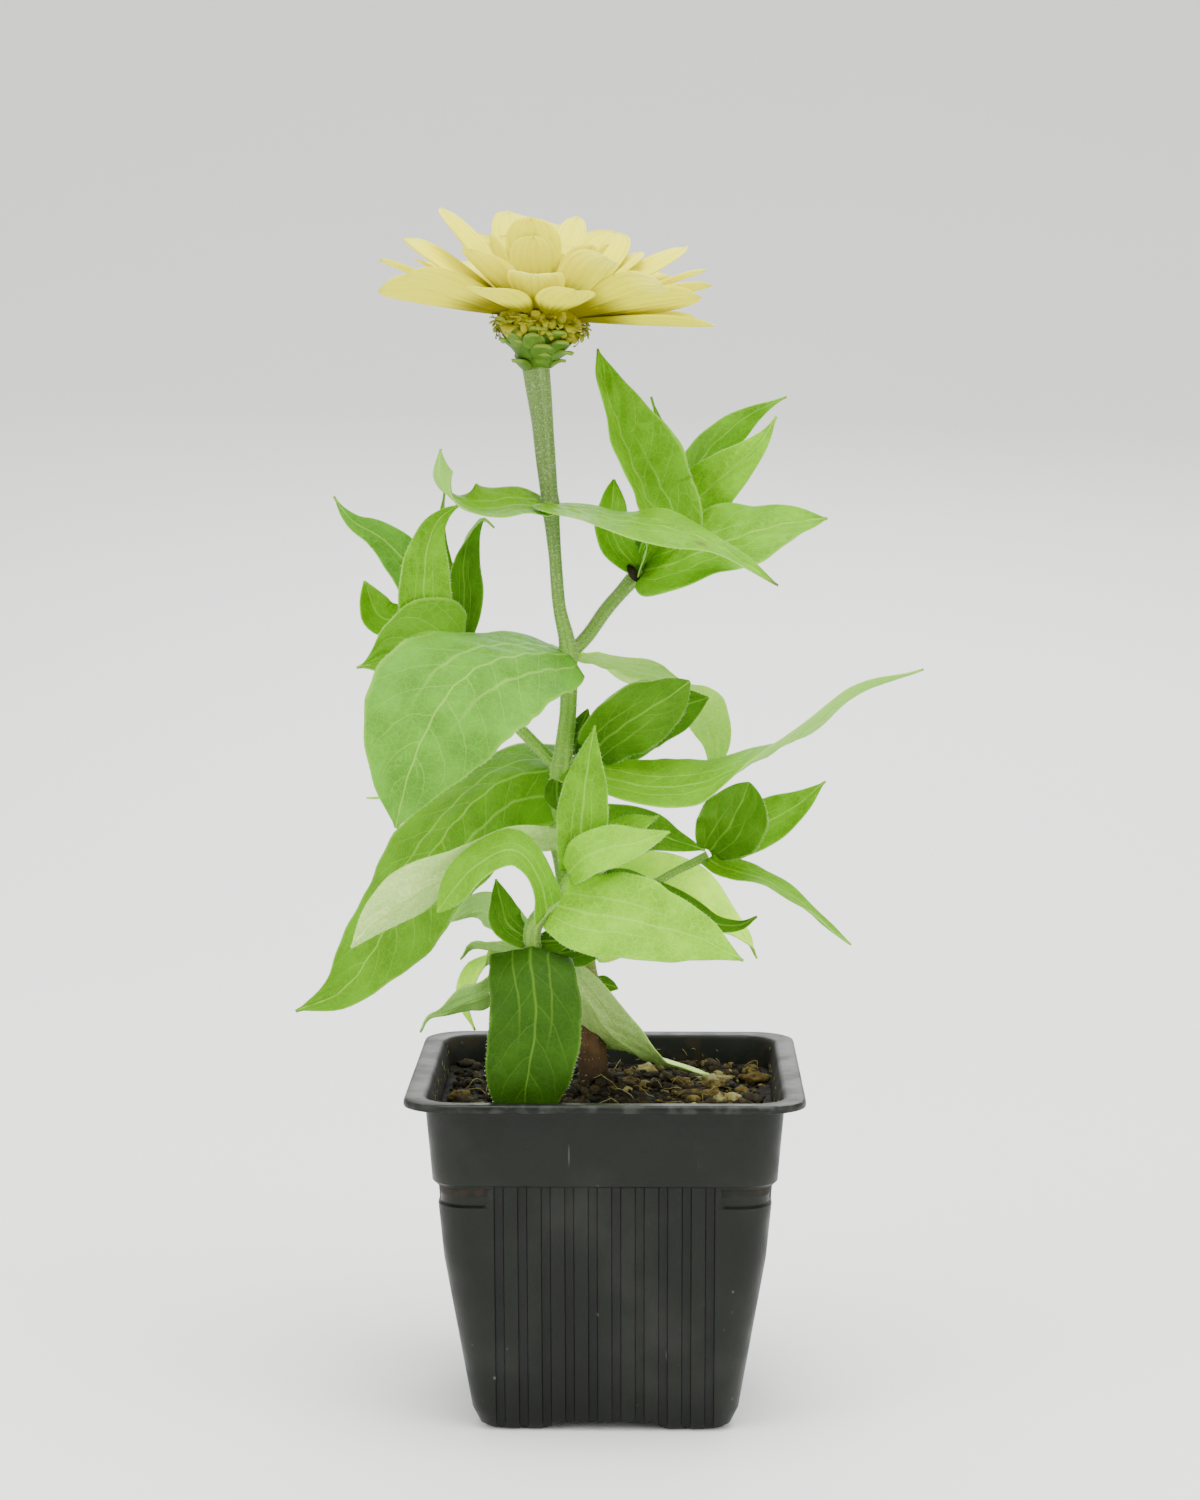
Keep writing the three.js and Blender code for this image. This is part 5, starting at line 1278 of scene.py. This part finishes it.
def bract_grid(radius, height, flare, long, half, turn, rows=9, columns=6):
    """Middle surface of a cupped bract that leans out of the cup and curls at its tip."""
    s = np.linspace(0, 1, rows + 1)
    slope = np.radians(64 - 0.25 * flare - 0.75 * flare * s ** 2.2)
    reach, up = bent_line(radius, height, slope, long / rows)
    u = np.linspace(1, -1, columns + 1)
    share = np.maximum(1 - np.abs(1.75 * np.clip(s, 0, 1) - 0.8) ** 3.2, 0.08) ** 0.7
    width = half * share[:, None] * u[None, :]
    bend = width ** 2 / (2 * max(radius, 3))
    x = reach[:, None] - bend - 0.12 * u[None, :] ** 2
    grid = np.stack([x, width, np.broadcast_to(up[:, None], x.shape)], axis=-1)
    places = np.stack(np.meshgrid((1 - u) / 2, s), axis=-1)
    return turned(grid, turn, "z"), places


def add_bracts(shape, draws):
    """Adds the green cup, its overlapping rows of bracts and the withered curls above them."""
    add_lathe(shape, CUP, 40, 0.2, (0, 0.6, 0))
    for level, (radius, height, count, long, half) in enumerate(BRACT_ROWS):
        for i in range(count):
            turn = 360 * (i + 0.5 * (level % 2)) / count + draws.between(-11, 11)
            flare = draws.between(10, 120)
            grid, places = bract_grid(
                radius, height + draws.between(-0.9, 0.9), flare, long * draws.between(0.85, 1.1),
                half * draws.between(0.85, 1.05), turn)
            dry = 0.5 if level == len(BRACT_ROWS) - 1 else 0.0
            paint = painted(places[..., 1], 0, draws.next(), dry * draws.next())
            add_sheet(shape, on_head(grid), BRACT_THICKNESS, places, places, paint)
    for i in range(CURL_COUNT):
        turn = 5 * i + draws.between(-5, 5)
        low = draws.between(-1.4, 1.2)
        grid, places = bract_grid(
            8.2 + 0.25 * low, 9.6 + low, draws.between(60, 230), draws.between(2.0, 4.6),
            draws.between(0.5, 1.5), turn, 10, 4)
        paint = painted(places[..., 1], 0, draws.next(), draws.between(0.4, 1))
        add_sheet(shape, on_head(grid), CURL_THICKNESS, places, places, paint)


def add_remnants(shape, draws):
    """Adds the bumpy golden mass of spent florets, between the bracts and the petals."""
    points, faces = lump_mesh(2)
    for i in range(REMNANT_COUNT):
        turn = 3.75 * i * 7 + draws.between(-6, 6)
        height = draws.between(7.6, 12.2)
        size = np.array([draws.between(0.7, 1.3), draws.between(0.7, 1.4), draws.between(1.0, 2.1)])
        body = points * (1 + 0.3 * wave(points * 10, 5, i % 31))[:, None] * size
        body = turned(body, draws.between(-35, 35), "y")
        reach = 8.5 - 0.16 * abs(height - 10) + draws.between(-0.5, 0.4)
        body = turned(body + [reach, 0, height], turn, "z")
        shape.add(on_head(body), faces, paint=(0, draws.next(), draws.between(0.75, 1)))


def thread_material():
    """Dark brown of dried threads and scales."""
    if "dried_brown" in bpy.data.materials:
        return bpy.data.materials["dried_brown"]
    material, g, shader = new_material("dried_brown", Roughness=0.7, Specular_IOR_Level=0.2)
    tone = g.noise(g.object_place(), 500.0, 3.0)
    thread = g.mix(tone, linear("3A3212"), linear("7A6E34"))
    scale = g.mix(g.step(tone, 0.4, 0.65), linear("140E07"), linear("3B2917"))
    g.finish(shader, g.mix(g.paint()[0], thread, scale))
    return material


def add_threads(shape, draws):
    """Adds the fine curled threads that hang out under the petals."""
    for i in range(THREAD_COUNT):
        turn = draws.between(0, 360)
        if i < 12:
            turn = draws.between(-22, 22) + (180 if i % 2 else 0)
        curl, way = draws.between(2, 5), draws.between(-0.6, 0.3)
        spots, place = [], np.array([8.4, 0.0, draws.between(8.4, 11)])
        for k in range(12):
            spots.append(place)
            way = way - curl * 0.055 * (1 if i % 3 else -1)
            place = place + 0.36 * np.array([math.cos(way), 0.25 * math.sin(3 * way), math.sin(way)])
        radii = np.linspace(0.16, 0.09, 12)
        radii[-2:] = 0.2
        add_tube(shape, on_head(turned(np.array(spots), turn, "z")), radii, 6, (0, 0, 0))


def add_florets(shape, draws):
    """Adds the dome in the middle of the head and its florets, set in a spiral."""
    add_lathe(shape, DISC, 28, 0)
    for i in range(1, FLORET_COUNT):
        reach = 0.4 * math.sqrt(i)
        turn = math.radians(GOLDEN_ANGLE * i)
        foot = np.array([reach * math.cos(turn), reach * math.sin(turn), 19.4 - 0.17 * reach * reach])
        lean = np.array([0.25 * math.cos(turn), 0.25 * math.sin(turn), 1.0])
        top = foot + lean * draws.between(0.4, 0.9)
        spots = on_head(np.linspace(foot - lean * 0.4, top, 5))
        add_tube(shape, spots, [0.16, 0.18, 0.2, 0.24, 0.12], 6, (0, 0, draws.next()))


# Soil


def body_at(z):
    """Half width and corner radius of the pot's outside at a height."""
    heights, *columns = zip(*BODY_PROFILE)
    return [float(np.interp(z, heights, column)) for column in columns]


def cavity_half(z):
    """Half width of the space inside the pot at a height."""
    return body_at(z)[0] - POT_WALL


def even_points(path, count, endpoint=True):
    """Points at even steps along a path."""
    path = np.array(path)
    run = np.concatenate([[0], np.cumsum(np.linalg.norm(np.diff(path, axis=0), axis=1))])
    marks = np.linspace(0, run[-1], count, endpoint=endpoint)
    return np.stack([np.interp(marks, run, path[:, i]) for i in range(2)], axis=1)


def rounded_square(half, corner, count):
    """Even points round a square with round corners, anticlockwise from the +X side's middle."""
    inner = half - corner
    arc = np.linspace(0, math.pi / 2, 13)
    line = []
    for quarter in range(4):
        base = quarter * math.pi / 2
        centre = turned(np.array([inner, inner, 0.0]), quarter * 90, "z")
        for angle in arc:
            line.append([centre[0] + corner * math.cos(base + angle),
                         centre[1] + corner * math.sin(base + angle)])
    return even_points([[half, 0], *line, [half, 0]], count, endpoint=False)


def soil_height(x, y):
    """Height of the soil's rough surface, a little mounded round the stem."""
    low = noise.fractal(Vector((x / 9, y / 9, 3.3)), 0.9, 2.1, 3)
    fine = noise.noise(Vector((x / 2.2, y / 2.2, 8.1)))
    mound = 4.6 * math.exp(-((x + 1.5) ** 2 + (y + 1) ** 2) / 55)
    return SOIL_TOP + 0.9 * low + 0.7 * fine + mound


def add_soil_body(shape, count=160, loops=46):
    """Adds the filling of the pot, with its rough top and plain sides."""
    edge = rounded_square(cavity_half(SOIL_TOP) - 0.1, 6.8, count)
    rows = []
    for i in range(loops + 1):
        share = (i + 0.15) / (loops + 0.15)
        rows.append([[x * share, y * share, soil_height(x * share, y * share)] for x, y in edge])
    for z in (66, 58, 40, 20, FLOOR_TOP + 0.3):
        ring = rounded_square(cavity_half(z) - 0.3, 5.5, count)
        rows.append([[x, y, z] for x, y in ring])
    grid = np.array(rows)
    shape.add(grid.reshape(-1, 3), closed_faces(len(rows), count, flip=True))


def lump_mesh(subdivisions):
    """Points and faces of a round lump with radius 1."""
    mesh = bmesh.new()
    bmesh.ops.create_icosphere(mesh, subdivisions=subdivisions, radius=1)
    points = np.array([v.co[:] for v in mesh.verts])
    faces = [tuple(v.index for v in face.verts) for face in mesh.faces]
    mesh.free()
    return points, faces


def add_lumps(shape, draws, count, low, high, subdivisions, golden):
    """Adds scattered lumps of compost, more golden ones to the right and the front."""
    points, faces = lump_mesh(subdivisions)
    for i in range(count):
        x = draws.between(-37, 37)
        y = draws.between(-37, 37)
        size = draws.between(low, high)
        corner = math.hypot(max(abs(x) - SOIL_FLAT, 0), max(abs(y) - SOIL_FLAT, 0))
        if corner + size > SOIL_CORNER:
            continue
        right = 1 / (1 + math.exp(-(x - 4) / 6)) * (0.85 if y < 22 else 0.5)
        gold = draws.next() < golden * (0.06 + right)
        crusty = gold and draws.next() < 0.35
        if gold:
            size = size * draws.between(1, 1.35)
        scale = np.array([draws.between(0.6, 1.7), draws.between(0.5, 1.1), draws.between(0.4, 0.85)])
        rough = 1 + 0.5 * wave(points * 10, 7, i % 37) + 0.3 * wave(points * 10, 3, i % 29)
        body = points * rough[:, None] * scale * size
        body = turned(body, draws.between(0, 360), "z")
        body = body + [x, y, soil_height(x, y) + 0.25 * size]
        tone = (1.0 if gold else draws.between(0, 0.25), 0.8 if crusty else 0.0, draws.next())
        shape.add(body, faces, paint=tone)


def add_foot_lumps(shape, draws):
    """Adds dark crumbs heaped round the foot of the stem."""
    points, faces = lump_mesh(2)
    for i in range(FOOT_LUMPS):
        turn, reach = draws.between(0, 6.28), draws.between(4.2, 7.5)
        x, y = -2.9 + reach * math.cos(turn), 1 + reach * math.sin(turn)
        rough = 1 + 0.5 * wave(points * 10, 7, i % 37)
        size = draws.between(0.7, 1.6)
        body = turned(points * rough[:, None] * [size, size * 0.8, size * 0.7], 40 * i, "z")
        heap = draws.between(0, 1.2) * (7.5 - reach) / 3.3
        body = body + [x, y, soil_height(x, y) + heap]
        shape.add(body, faces, paint=(draws.between(0, 0.3), 0, draws.next()))


def add_fibres(shape, draws):
    """Adds fine pale root fibres that lie on the soil."""
    for _ in range(SOIL_FIBRES):
        x, y = draws.between(-33, 33), draws.between(-33, 33)
        way = draws.between(0, 6.28)
        long = draws.between(3, 9)
        spots = []
        for k in range(7):
            share = k / 6
            way = way + draws.between(-0.5, 0.5)
            x = float(np.clip(x + math.cos(way) * long / 6, -36, 36))
            y = float(np.clip(y + math.sin(way) * long / 6, -36, 36))
            arch = 1.2 * math.sin(math.pi * share)
            spots.append([x, y, soil_height(x, y) + 0.5 + arch])
        add_tube(shape, spots, np.full(7, 0.09), 5, (0.6, 0.9, 0.5))


def add_wall_fibres(shape, draws):
    """Adds short pale fibres that cling to the pot's inner walls above the soil."""
    for _ in range(WALL_FIBRES):
        wall = int(draws.next() * 4)
        x, z = draws.between(-33, 33), draws.between(71.5, 77)
        way, bend, long = draws.between(0, 6.28), draws.between(-1.6, 1.6), draws.between(0.8, 2.6)
        spots = []
        for k in range(5):
            x, z = x + long / 5 * math.cos(way), z + long / 5 * math.sin(way)
            way = way + bend / 4
            spots.append([x, cavity_half(z) - 0.06, min(max(z, 71), 77.3)])
        spots = turned(np.array(spots), 90 * wall, "z")
        add_tube(shape, spots, np.full(5, 0.06), 5, (0.6, 1.0, draws.next()))


# Pot


def pot_ring(half, corner, z, groove=0.0, notch=0.0):
    """One level of the pot's wall, with its grooves and corner notches."""
    flat = half - corner
    reach = (GROOVE_COUNT - 1) / 2 * GROOVE_PITCH + GROOVE_WIDTH / 2 + 0.6
    side = [(-reach, 0)]
    for i in range(GROOVE_COUNT):
        middle = (i - (GROOVE_COUNT - 1) / 2) * GROOVE_PITCH
        side += [(middle + offset * GROOVE_WIDTH / 2, depth) for offset, depth, _ in GROOVE_SECTION]
    points = []
    for t, depth in [*side, (reach, 0)]:
        past = max(abs(t) - flat, 0)
        skin = flat + math.sqrt(max(corner * corner - past * past, 0))
        points.append([skin - groove * depth, t])
    start = math.asin(min(max(reach - flat, 0) / corner, 1))
    path = [[flat + corner * math.cos(angle), flat + corner * math.sin(angle)]
            for angle in np.linspace(start, math.pi / 2 - start, 13)]
    if reach < flat:
        path = [[half, reach], *path, [reach, half]]
    notch_from = half - NOTCH_LENGTH - NOTCH_BLEND
    for x, y in even_points(path, 24)[1:-1]:
        if x > flat and y > flat:
            way = unit(np.array([x - flat, y - flat]))
        else:
            way = (1, 0) if x > y else (0, 1)
        deep = notch * min(max((max(min(x, y), 0) - notch_from) / 2, 0), 1)
        points.append([x - way[0] * deep, y - way[1] * deep])
    quarter = np.array([[x, y, z] for x, y in points])
    return np.concatenate([turned(quarter, 90 * k, "z") for k in range(4)])


def pot_levels(depth):
    """Half width, corner radius and height of each level round the pot, with its groove and notch."""
    def outside(z, groove=0.0, notch=0.0, extra=0.0):
        half, corner = body_at(z)
        return (half + extra, corner, z, groove, notch)

    levels = [outside(0, depth, 0, -0.5), outside(0.25, depth), outside(1, depth)]
    levels += [outside(z, depth) for z in WALL_LEVELS]
    levels += [outside(z, depth, NOTCH_DEPTH) for z in NOTCH_LEVELS]
    levels += [outside(58.2, depth), outside(58.45, depth)]
    levels += BAND_STEP + [outside(z) for z in BAND_LEVELS] + LIP
    for z in INNER_LEVELS:
        half, corner = body_at(z)
        levels.append((half - POT_WALL, corner - 1, z))
    levels.append((cavity_half(FLOOR_TOP) - 1, 5, FLOOR_TOP))
    return levels


def pot_paint(levels, rings):
    """Marks the inner wall for its stains, the grooves for painted shade, and the lip for its wear and
    painted highlight.
    """
    rows, count = rings.shape[:2]
    paint = np.zeros((rows, count, 3))
    paint[rows - 12:, :, 0] = 1
    # How much painted shade each point across a groove gets
    shades = [shade for _, _, shade in GROOVE_SECTION]
    for k in range(4):
        first = k * count // 4 + 1
        paint[:, first:first + len(shades) * GROOVE_COUNT, 1] = shades * GROOVE_COUNT
    for row, level in enumerate(levels):
        if len(level) == 3 or level[3] == 0:
            paint[row, :, 1] = 0
        # The outer lip is marked for its wear and painted highlight
        if level[0] > 43.5:
            paint[row, :, 2] = 1
    return paint.reshape(-1, 3)


def cut(piece, cutter):
    """Cuts a shape out of a piece for good."""
    modifier = piece.modifiers.new("cut", "BOOLEAN")
    modifier.operation = "DIFFERENCE"
    modifier.solver = "EXACT"
    modifier.object = cutter
    bpy.context.view_layer.update()
    graph = bpy.context.evaluated_depsgraph_get()
    mesh = bpy.data.meshes.new_from_object(piece.evaluated_get(graph))
    piece.modifiers.clear()
    old = piece.data
    piece.data = mesh
    bpy.data.meshes.remove(old)
    cutter_mesh = cutter.data
    bpy.data.objects.remove(cutter)
    bpy.data.meshes.remove(cutter_mesh)


def loose_object(name, points, faces):
    """A plain object from points in metres, with no body, slot or material."""
    mesh = bpy.data.meshes.new(name)
    mesh.from_pydata(np.asarray(points).tolist(), [], faces)
    mesh.update()
    made = bpy.data.objects.new(name, mesh)
    bpy.context.scene.collection.objects.link(made)
    return made


def arch_cutter(turn):
    """The space between the feet, right through under the pot."""
    foot, top = ARCH_FOOT / 2, ARCH_TOP / 2
    outline = [(-foot, -1), (foot, -1), (foot, 0), (top, FOOT_HEIGHT), (-top, FOOT_HEIGHT), (-foot, 0)]
    points = [[x, y, z] for y in (RIM_HALF, -RIM_HALF) for x, z in outline]
    points = turned(np.array(points, dtype=float), turn, "z") * MM
    return loose_object("arch", points, closed_faces(2, len(outline)))


def drain_cutter():
    """Round pins through the floor at the drain holes."""
    offsets = (-DRAIN_OFFSET, DRAIN_OFFSET)
    places = [(0, 0)] + [(x, y) for x in offsets for y in offsets]
    turns = [2 * math.pi * k / DRAIN_SIDES for k in range(DRAIN_SIDES)]
    points, faces = [], []
    for x, y in places:
        faces += closed_faces(2, DRAIN_SIDES, len(points))
        points += [[x + DRAIN_RADIUS * math.cos(t), y + DRAIN_RADIUS * math.sin(t), z]
                   for z in (-2, 2 * FLOOR_TOP) for t in turns]
    return loose_object("drain", np.array(points) * MM, faces)


# Operators


class ZINNIA_OT_leaves(bpy.types.Operator):
    """Build every leaf, with its veins, waves and hairy margins"""

    bl_idname = "zinnia.leaves"
    bl_label = "Leaves"

    def execute(self, context):
        settings = context.scene.zinnia_leaves
        draws = Draws(SEED + 21)
        fringe = Shape()
        for leaf in LEAVES:
            shape = Shape()
            size = LARGE_GRID if leaf["half"] > LARGE_LEAF else SMALL_GRID
            margins = add_leaf(shape, leaf, size, draws, settings)
            material = leaf_material(leaf["look"], settings)
            shape.build(leaf["name"] + "_blade", material, [leaf["name"]])
            for margin in margins:
                roots, ways = (np.repeat(part[2:-1], MARGIN_HAIRS, axis=0) for part in margin)
                jitter = np.array([[draws.between(-0.5, 0.5) for _ in range(3)] for _ in roots])
                add_hairs(fringe, roots + jitter * 0.4, ways, settings.hair / MM, draws, len(roots))
        fringe.build("leaf_margin_hairs", hair_material(context.scene.zinnia_stems))
        return {"FINISHED"}


class ZINNIA_OT_stems(bpy.types.Operator):
    """Build the stems, their tiny leaflets and their hairs"""

    bl_idname = "zinnia.stems"
    bl_label = "Stems"

    def execute(self, context):
        settings = context.scene.zinnia_stems
        leaves = context.scene.zinnia_leaves
        draws = Draws(SEED + 22)
        material = stem_material(settings)
        hairs = Shape()
        for stem in [MAIN_STEM, *SHOOT_STEMS]:
            main = stem is MAIN_STEM
            roots, ways = stem_piece(stem, material, draws, MAIN_STEPS if main else SHOOT_STEPS)
            count = MAIN_HAIRS if main else SHOOT_HAIRS
            add_hairs(hairs, roots, ways, settings.hair / MM, draws, count)
            leaflets = Shape()
            for leaflet in LEAFLETS:
                if leaflet["stem"] == stem["name"]:
                    add_leaf(leaflets, leaflet, LEAFLET_GRID, draws, leaves)
            if leaflets.count:
                leaflets.build(stem["name"] + "_leaflets", leaf_material("deep", leaves))
        hairs.build("stem_hairs", bpy.data.materials["pale_hair"])
        scale = Shape()
        spots = np.linspace(DRY_SCALE[0], DRY_SCALE[1], 7)
        add_tube(scale, spots, [0.3, 0.8, 1, 1.1, 1, 0.7, 0.2], 14, (1, 0, 0))
        scale.build("dry_bud_scale", thread_material())
        return {"FINISHED"}


class ZINNIA_OT_bloom(bpy.types.Operator):
    """Build the ray petals, the cup of bracts and the florets"""

    bl_idname = "zinnia.bloom"
    bl_label = "Bloom"

    def execute(self, context):
        settings = context.scene.zinnia_bloom
        draws = Draws(SEED + 23)
        petals = Shape()
        add_petals(petals, settings, draws)
        petals.build("lemon_petals", petal_material(settings), ["ray_petals"])
        bracts = Shape()
        add_bracts(bracts, draws)
        add_remnants(bracts, draws)
        bracts.build("green_bracts", bract_material(settings), ["involucre"])
        threads = Shape()
        add_threads(threads, draws)
        threads.build("curled_threads", thread_material())
        florets = Shape()
        add_florets(florets, draws)
        florets.build("disc_florets", floret_material(settings), ["flower_disc"])
        return {"FINISHED"}


class ZINNIA_OT_soil(bpy.types.Operator):
    """Build the compost with its lumps and fibres"""

    bl_idname = "zinnia.soil"
    bl_label = "Soil"

    def execute(self, context):
        draws = Draws(SEED + 24)
        shape = Shape()
        add_soil_body(shape)
        for kind in LUMPS:
            add_lumps(shape, draws, *kind)
        for add_part in (add_foot_lumps, add_fibres, add_wall_fibres):
            add_part(shape, draws)
        shape.build("compost", compost_material(context.scene.zinnia_pot), ["soil"])
        return {"FINISHED"}


class ZINNIA_OT_pot(bpy.types.Operator):
    """Build the grooved pot with its rounded lip, feet and drain holes"""

    bl_idname = "zinnia.pot"
    bl_label = "Pot"

    def execute(self, context):
        settings = context.scene.zinnia_pot
        levels = pot_levels(settings.groove_depth / MM)
        rings = np.array([pot_ring(*level) for level in levels])
        rows, count = rings.shape[:2]
        shape = Shape()
        shape.add(rings.reshape(-1, 3), closed_faces(rows, count), paint=pot_paint(levels, rings))
        piece = shape.build("nursery_pot", plastic_material(settings), ["pot"])
        for cutter in (arch_cutter(0), arch_cutter(90), drain_cutter()):
            cut(piece, cutter)
        piece.data.shade_smooth()
        piece.data.set_sharp_from_angle(angle=math.radians(42))
        return {"FINISHED"}


class ZINNIA_OT_stage(bpy.types.Operator):
    """Set the plain floor, the soft light and the camera"""

    bl_idname = "zinnia.stage"
    bl_label = "Stage"

    def execute(self, context):
        settings = context.scene.zinnia_stage
        add_floor(settings)
        add_lights(settings)
        add_camera()
        return {"FINISHED"}


def add_floor(settings):
    """A wide pale floor that bends up into a backdrop far behind."""
    material, g, shader = new_material("pale_floor", Roughness=0.9, Specular_IOR_Level=0.1)
    tone = g.noise(g.object_place(), 3.0)
    g.finish(shader, g.mix(g.step(tone, 0.2, 0.8), settings.floor, toned(settings.floor, 0.985)))
    profile = [(-FLOOR_HALF, 0)]
    for angle in np.linspace(0, math.pi / 2, 25):
        far = BACKDROP_START + BACKDROP_BEND * math.sin(angle)
        profile.append((far, BACKDROP_BEND * (1 - math.cos(angle))))
    profile.append((BACKDROP_START + BACKDROP_BEND, BACKDROP_TOP))
    points = [[x, y, z] for y, z in profile for x in (-FLOOR_HALF, FLOOR_HALF)]
    faces = [(2 * i, 2 * i + 1, 2 * i + 3, 2 * i + 2) for i in range(len(profile) - 1)]
    floor = loose_object("pale_floor", points, faces)
    floor.data.shade_smooth()
    floor.data.materials.append(material)


def add_lights(settings):
    """Soft area lights above and at the sides, and an even pale surround."""
    for name, place, size, share in LAMPS:
        light = bpy.data.lights.new(name, "AREA")
        light.shape = "DISK"
        light.size = size
        light.energy = settings.key * share
        lamp = bpy.data.objects.new(name, light)
        lamp.location = place
        aim = Vector(LAMP_AIM) - lamp.location
        lamp.rotation_euler = aim.to_track_quat("-Z", "Y").to_euler()
        bpy.context.scene.collection.objects.link(lamp)
    world = bpy.data.worlds.new("studio")
    world.use_nodes = True
    surround = world.node_tree.nodes["Background"]
    surround.inputs["Color"].default_value = (1, 1, 1, 1)
    surround.inputs["Strength"].default_value = SURROUND
    bpy.context.scene.world = world


def add_camera():
    """The camera at the photograph's height, turn and field."""
    lens = bpy.data.cameras.new("view")
    lens.lens = CAMERA_LENS
    lens.sensor_fit = "VERTICAL"
    lens.sensor_height = 36
    lens.clip_start = 0.01
    lens.clip_end = 50
    camera = bpy.data.objects.new("view", lens)
    camera.location = CAMERA_PLACE
    camera.rotation_euler = (math.radians(90 - CAMERA_DOWN), 0, math.radians(CAMERA_TURN))
    bpy.context.scene.collection.objects.link(camera)
    bpy.context.scene.camera = camera


class ZINNIA_PT_panel(bpy.types.Panel):
    """Lists the settings and the operators of the potted zinnia"""

    bl_label = "Potted zinnia"
    bl_idname = "ZINNIA_PT_panel"
    bl_space_type = "VIEW_3D"
    bl_region_type = "UI"
    bl_category = "Zinnia"

    def draw(self, context):
        scene = context.scene
        for operator in OPERATORS:
            self.layout.operator(operator.bl_idname)
        for name, group in SETTINGS.items():
            box = self.layout.box()
            for title in group.__annotations__:
                box.prop(getattr(scene, name), title)


SETTINGS = {
    "zinnia_leaves": LeafSettings,
    "zinnia_stems": StemSettings,
    "zinnia_bloom": BloomSettings,
    "zinnia_pot": PotSettings,
    "zinnia_stage": StageSettings,
}
OPERATORS = [
    ZINNIA_OT_leaves, ZINNIA_OT_stems, ZINNIA_OT_bloom, ZINNIA_OT_soil, ZINNIA_OT_pot, ZINNIA_OT_stage,
]


def register():
    for item in (*SETTINGS.values(), *OPERATORS, ZINNIA_PT_panel):
        bpy.utils.register_class(item)
    for name, group in SETTINGS.items():
        setattr(bpy.types.Scene, name, bpy.props.PointerProperty(type=group))


def unregister():
    for name in SETTINGS:
        delattr(bpy.types.Scene, name)
    for item in (ZINNIA_PT_panel, *reversed(OPERATORS), *SETTINGS.values()):
        bpy.utils.unregister_class(item)


def main():
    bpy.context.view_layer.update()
    register()
    bpy.ops.zinnia.leaves()
    bpy.ops.zinnia.stems()
    bpy.ops.zinnia.bloom()
    bpy.ops.zinnia.soil()
    bpy.ops.zinnia.pot()
    bpy.ops.zinnia.stage()
    bpy.context.view_layer.update()


if __name__ == "__main__":
    main()
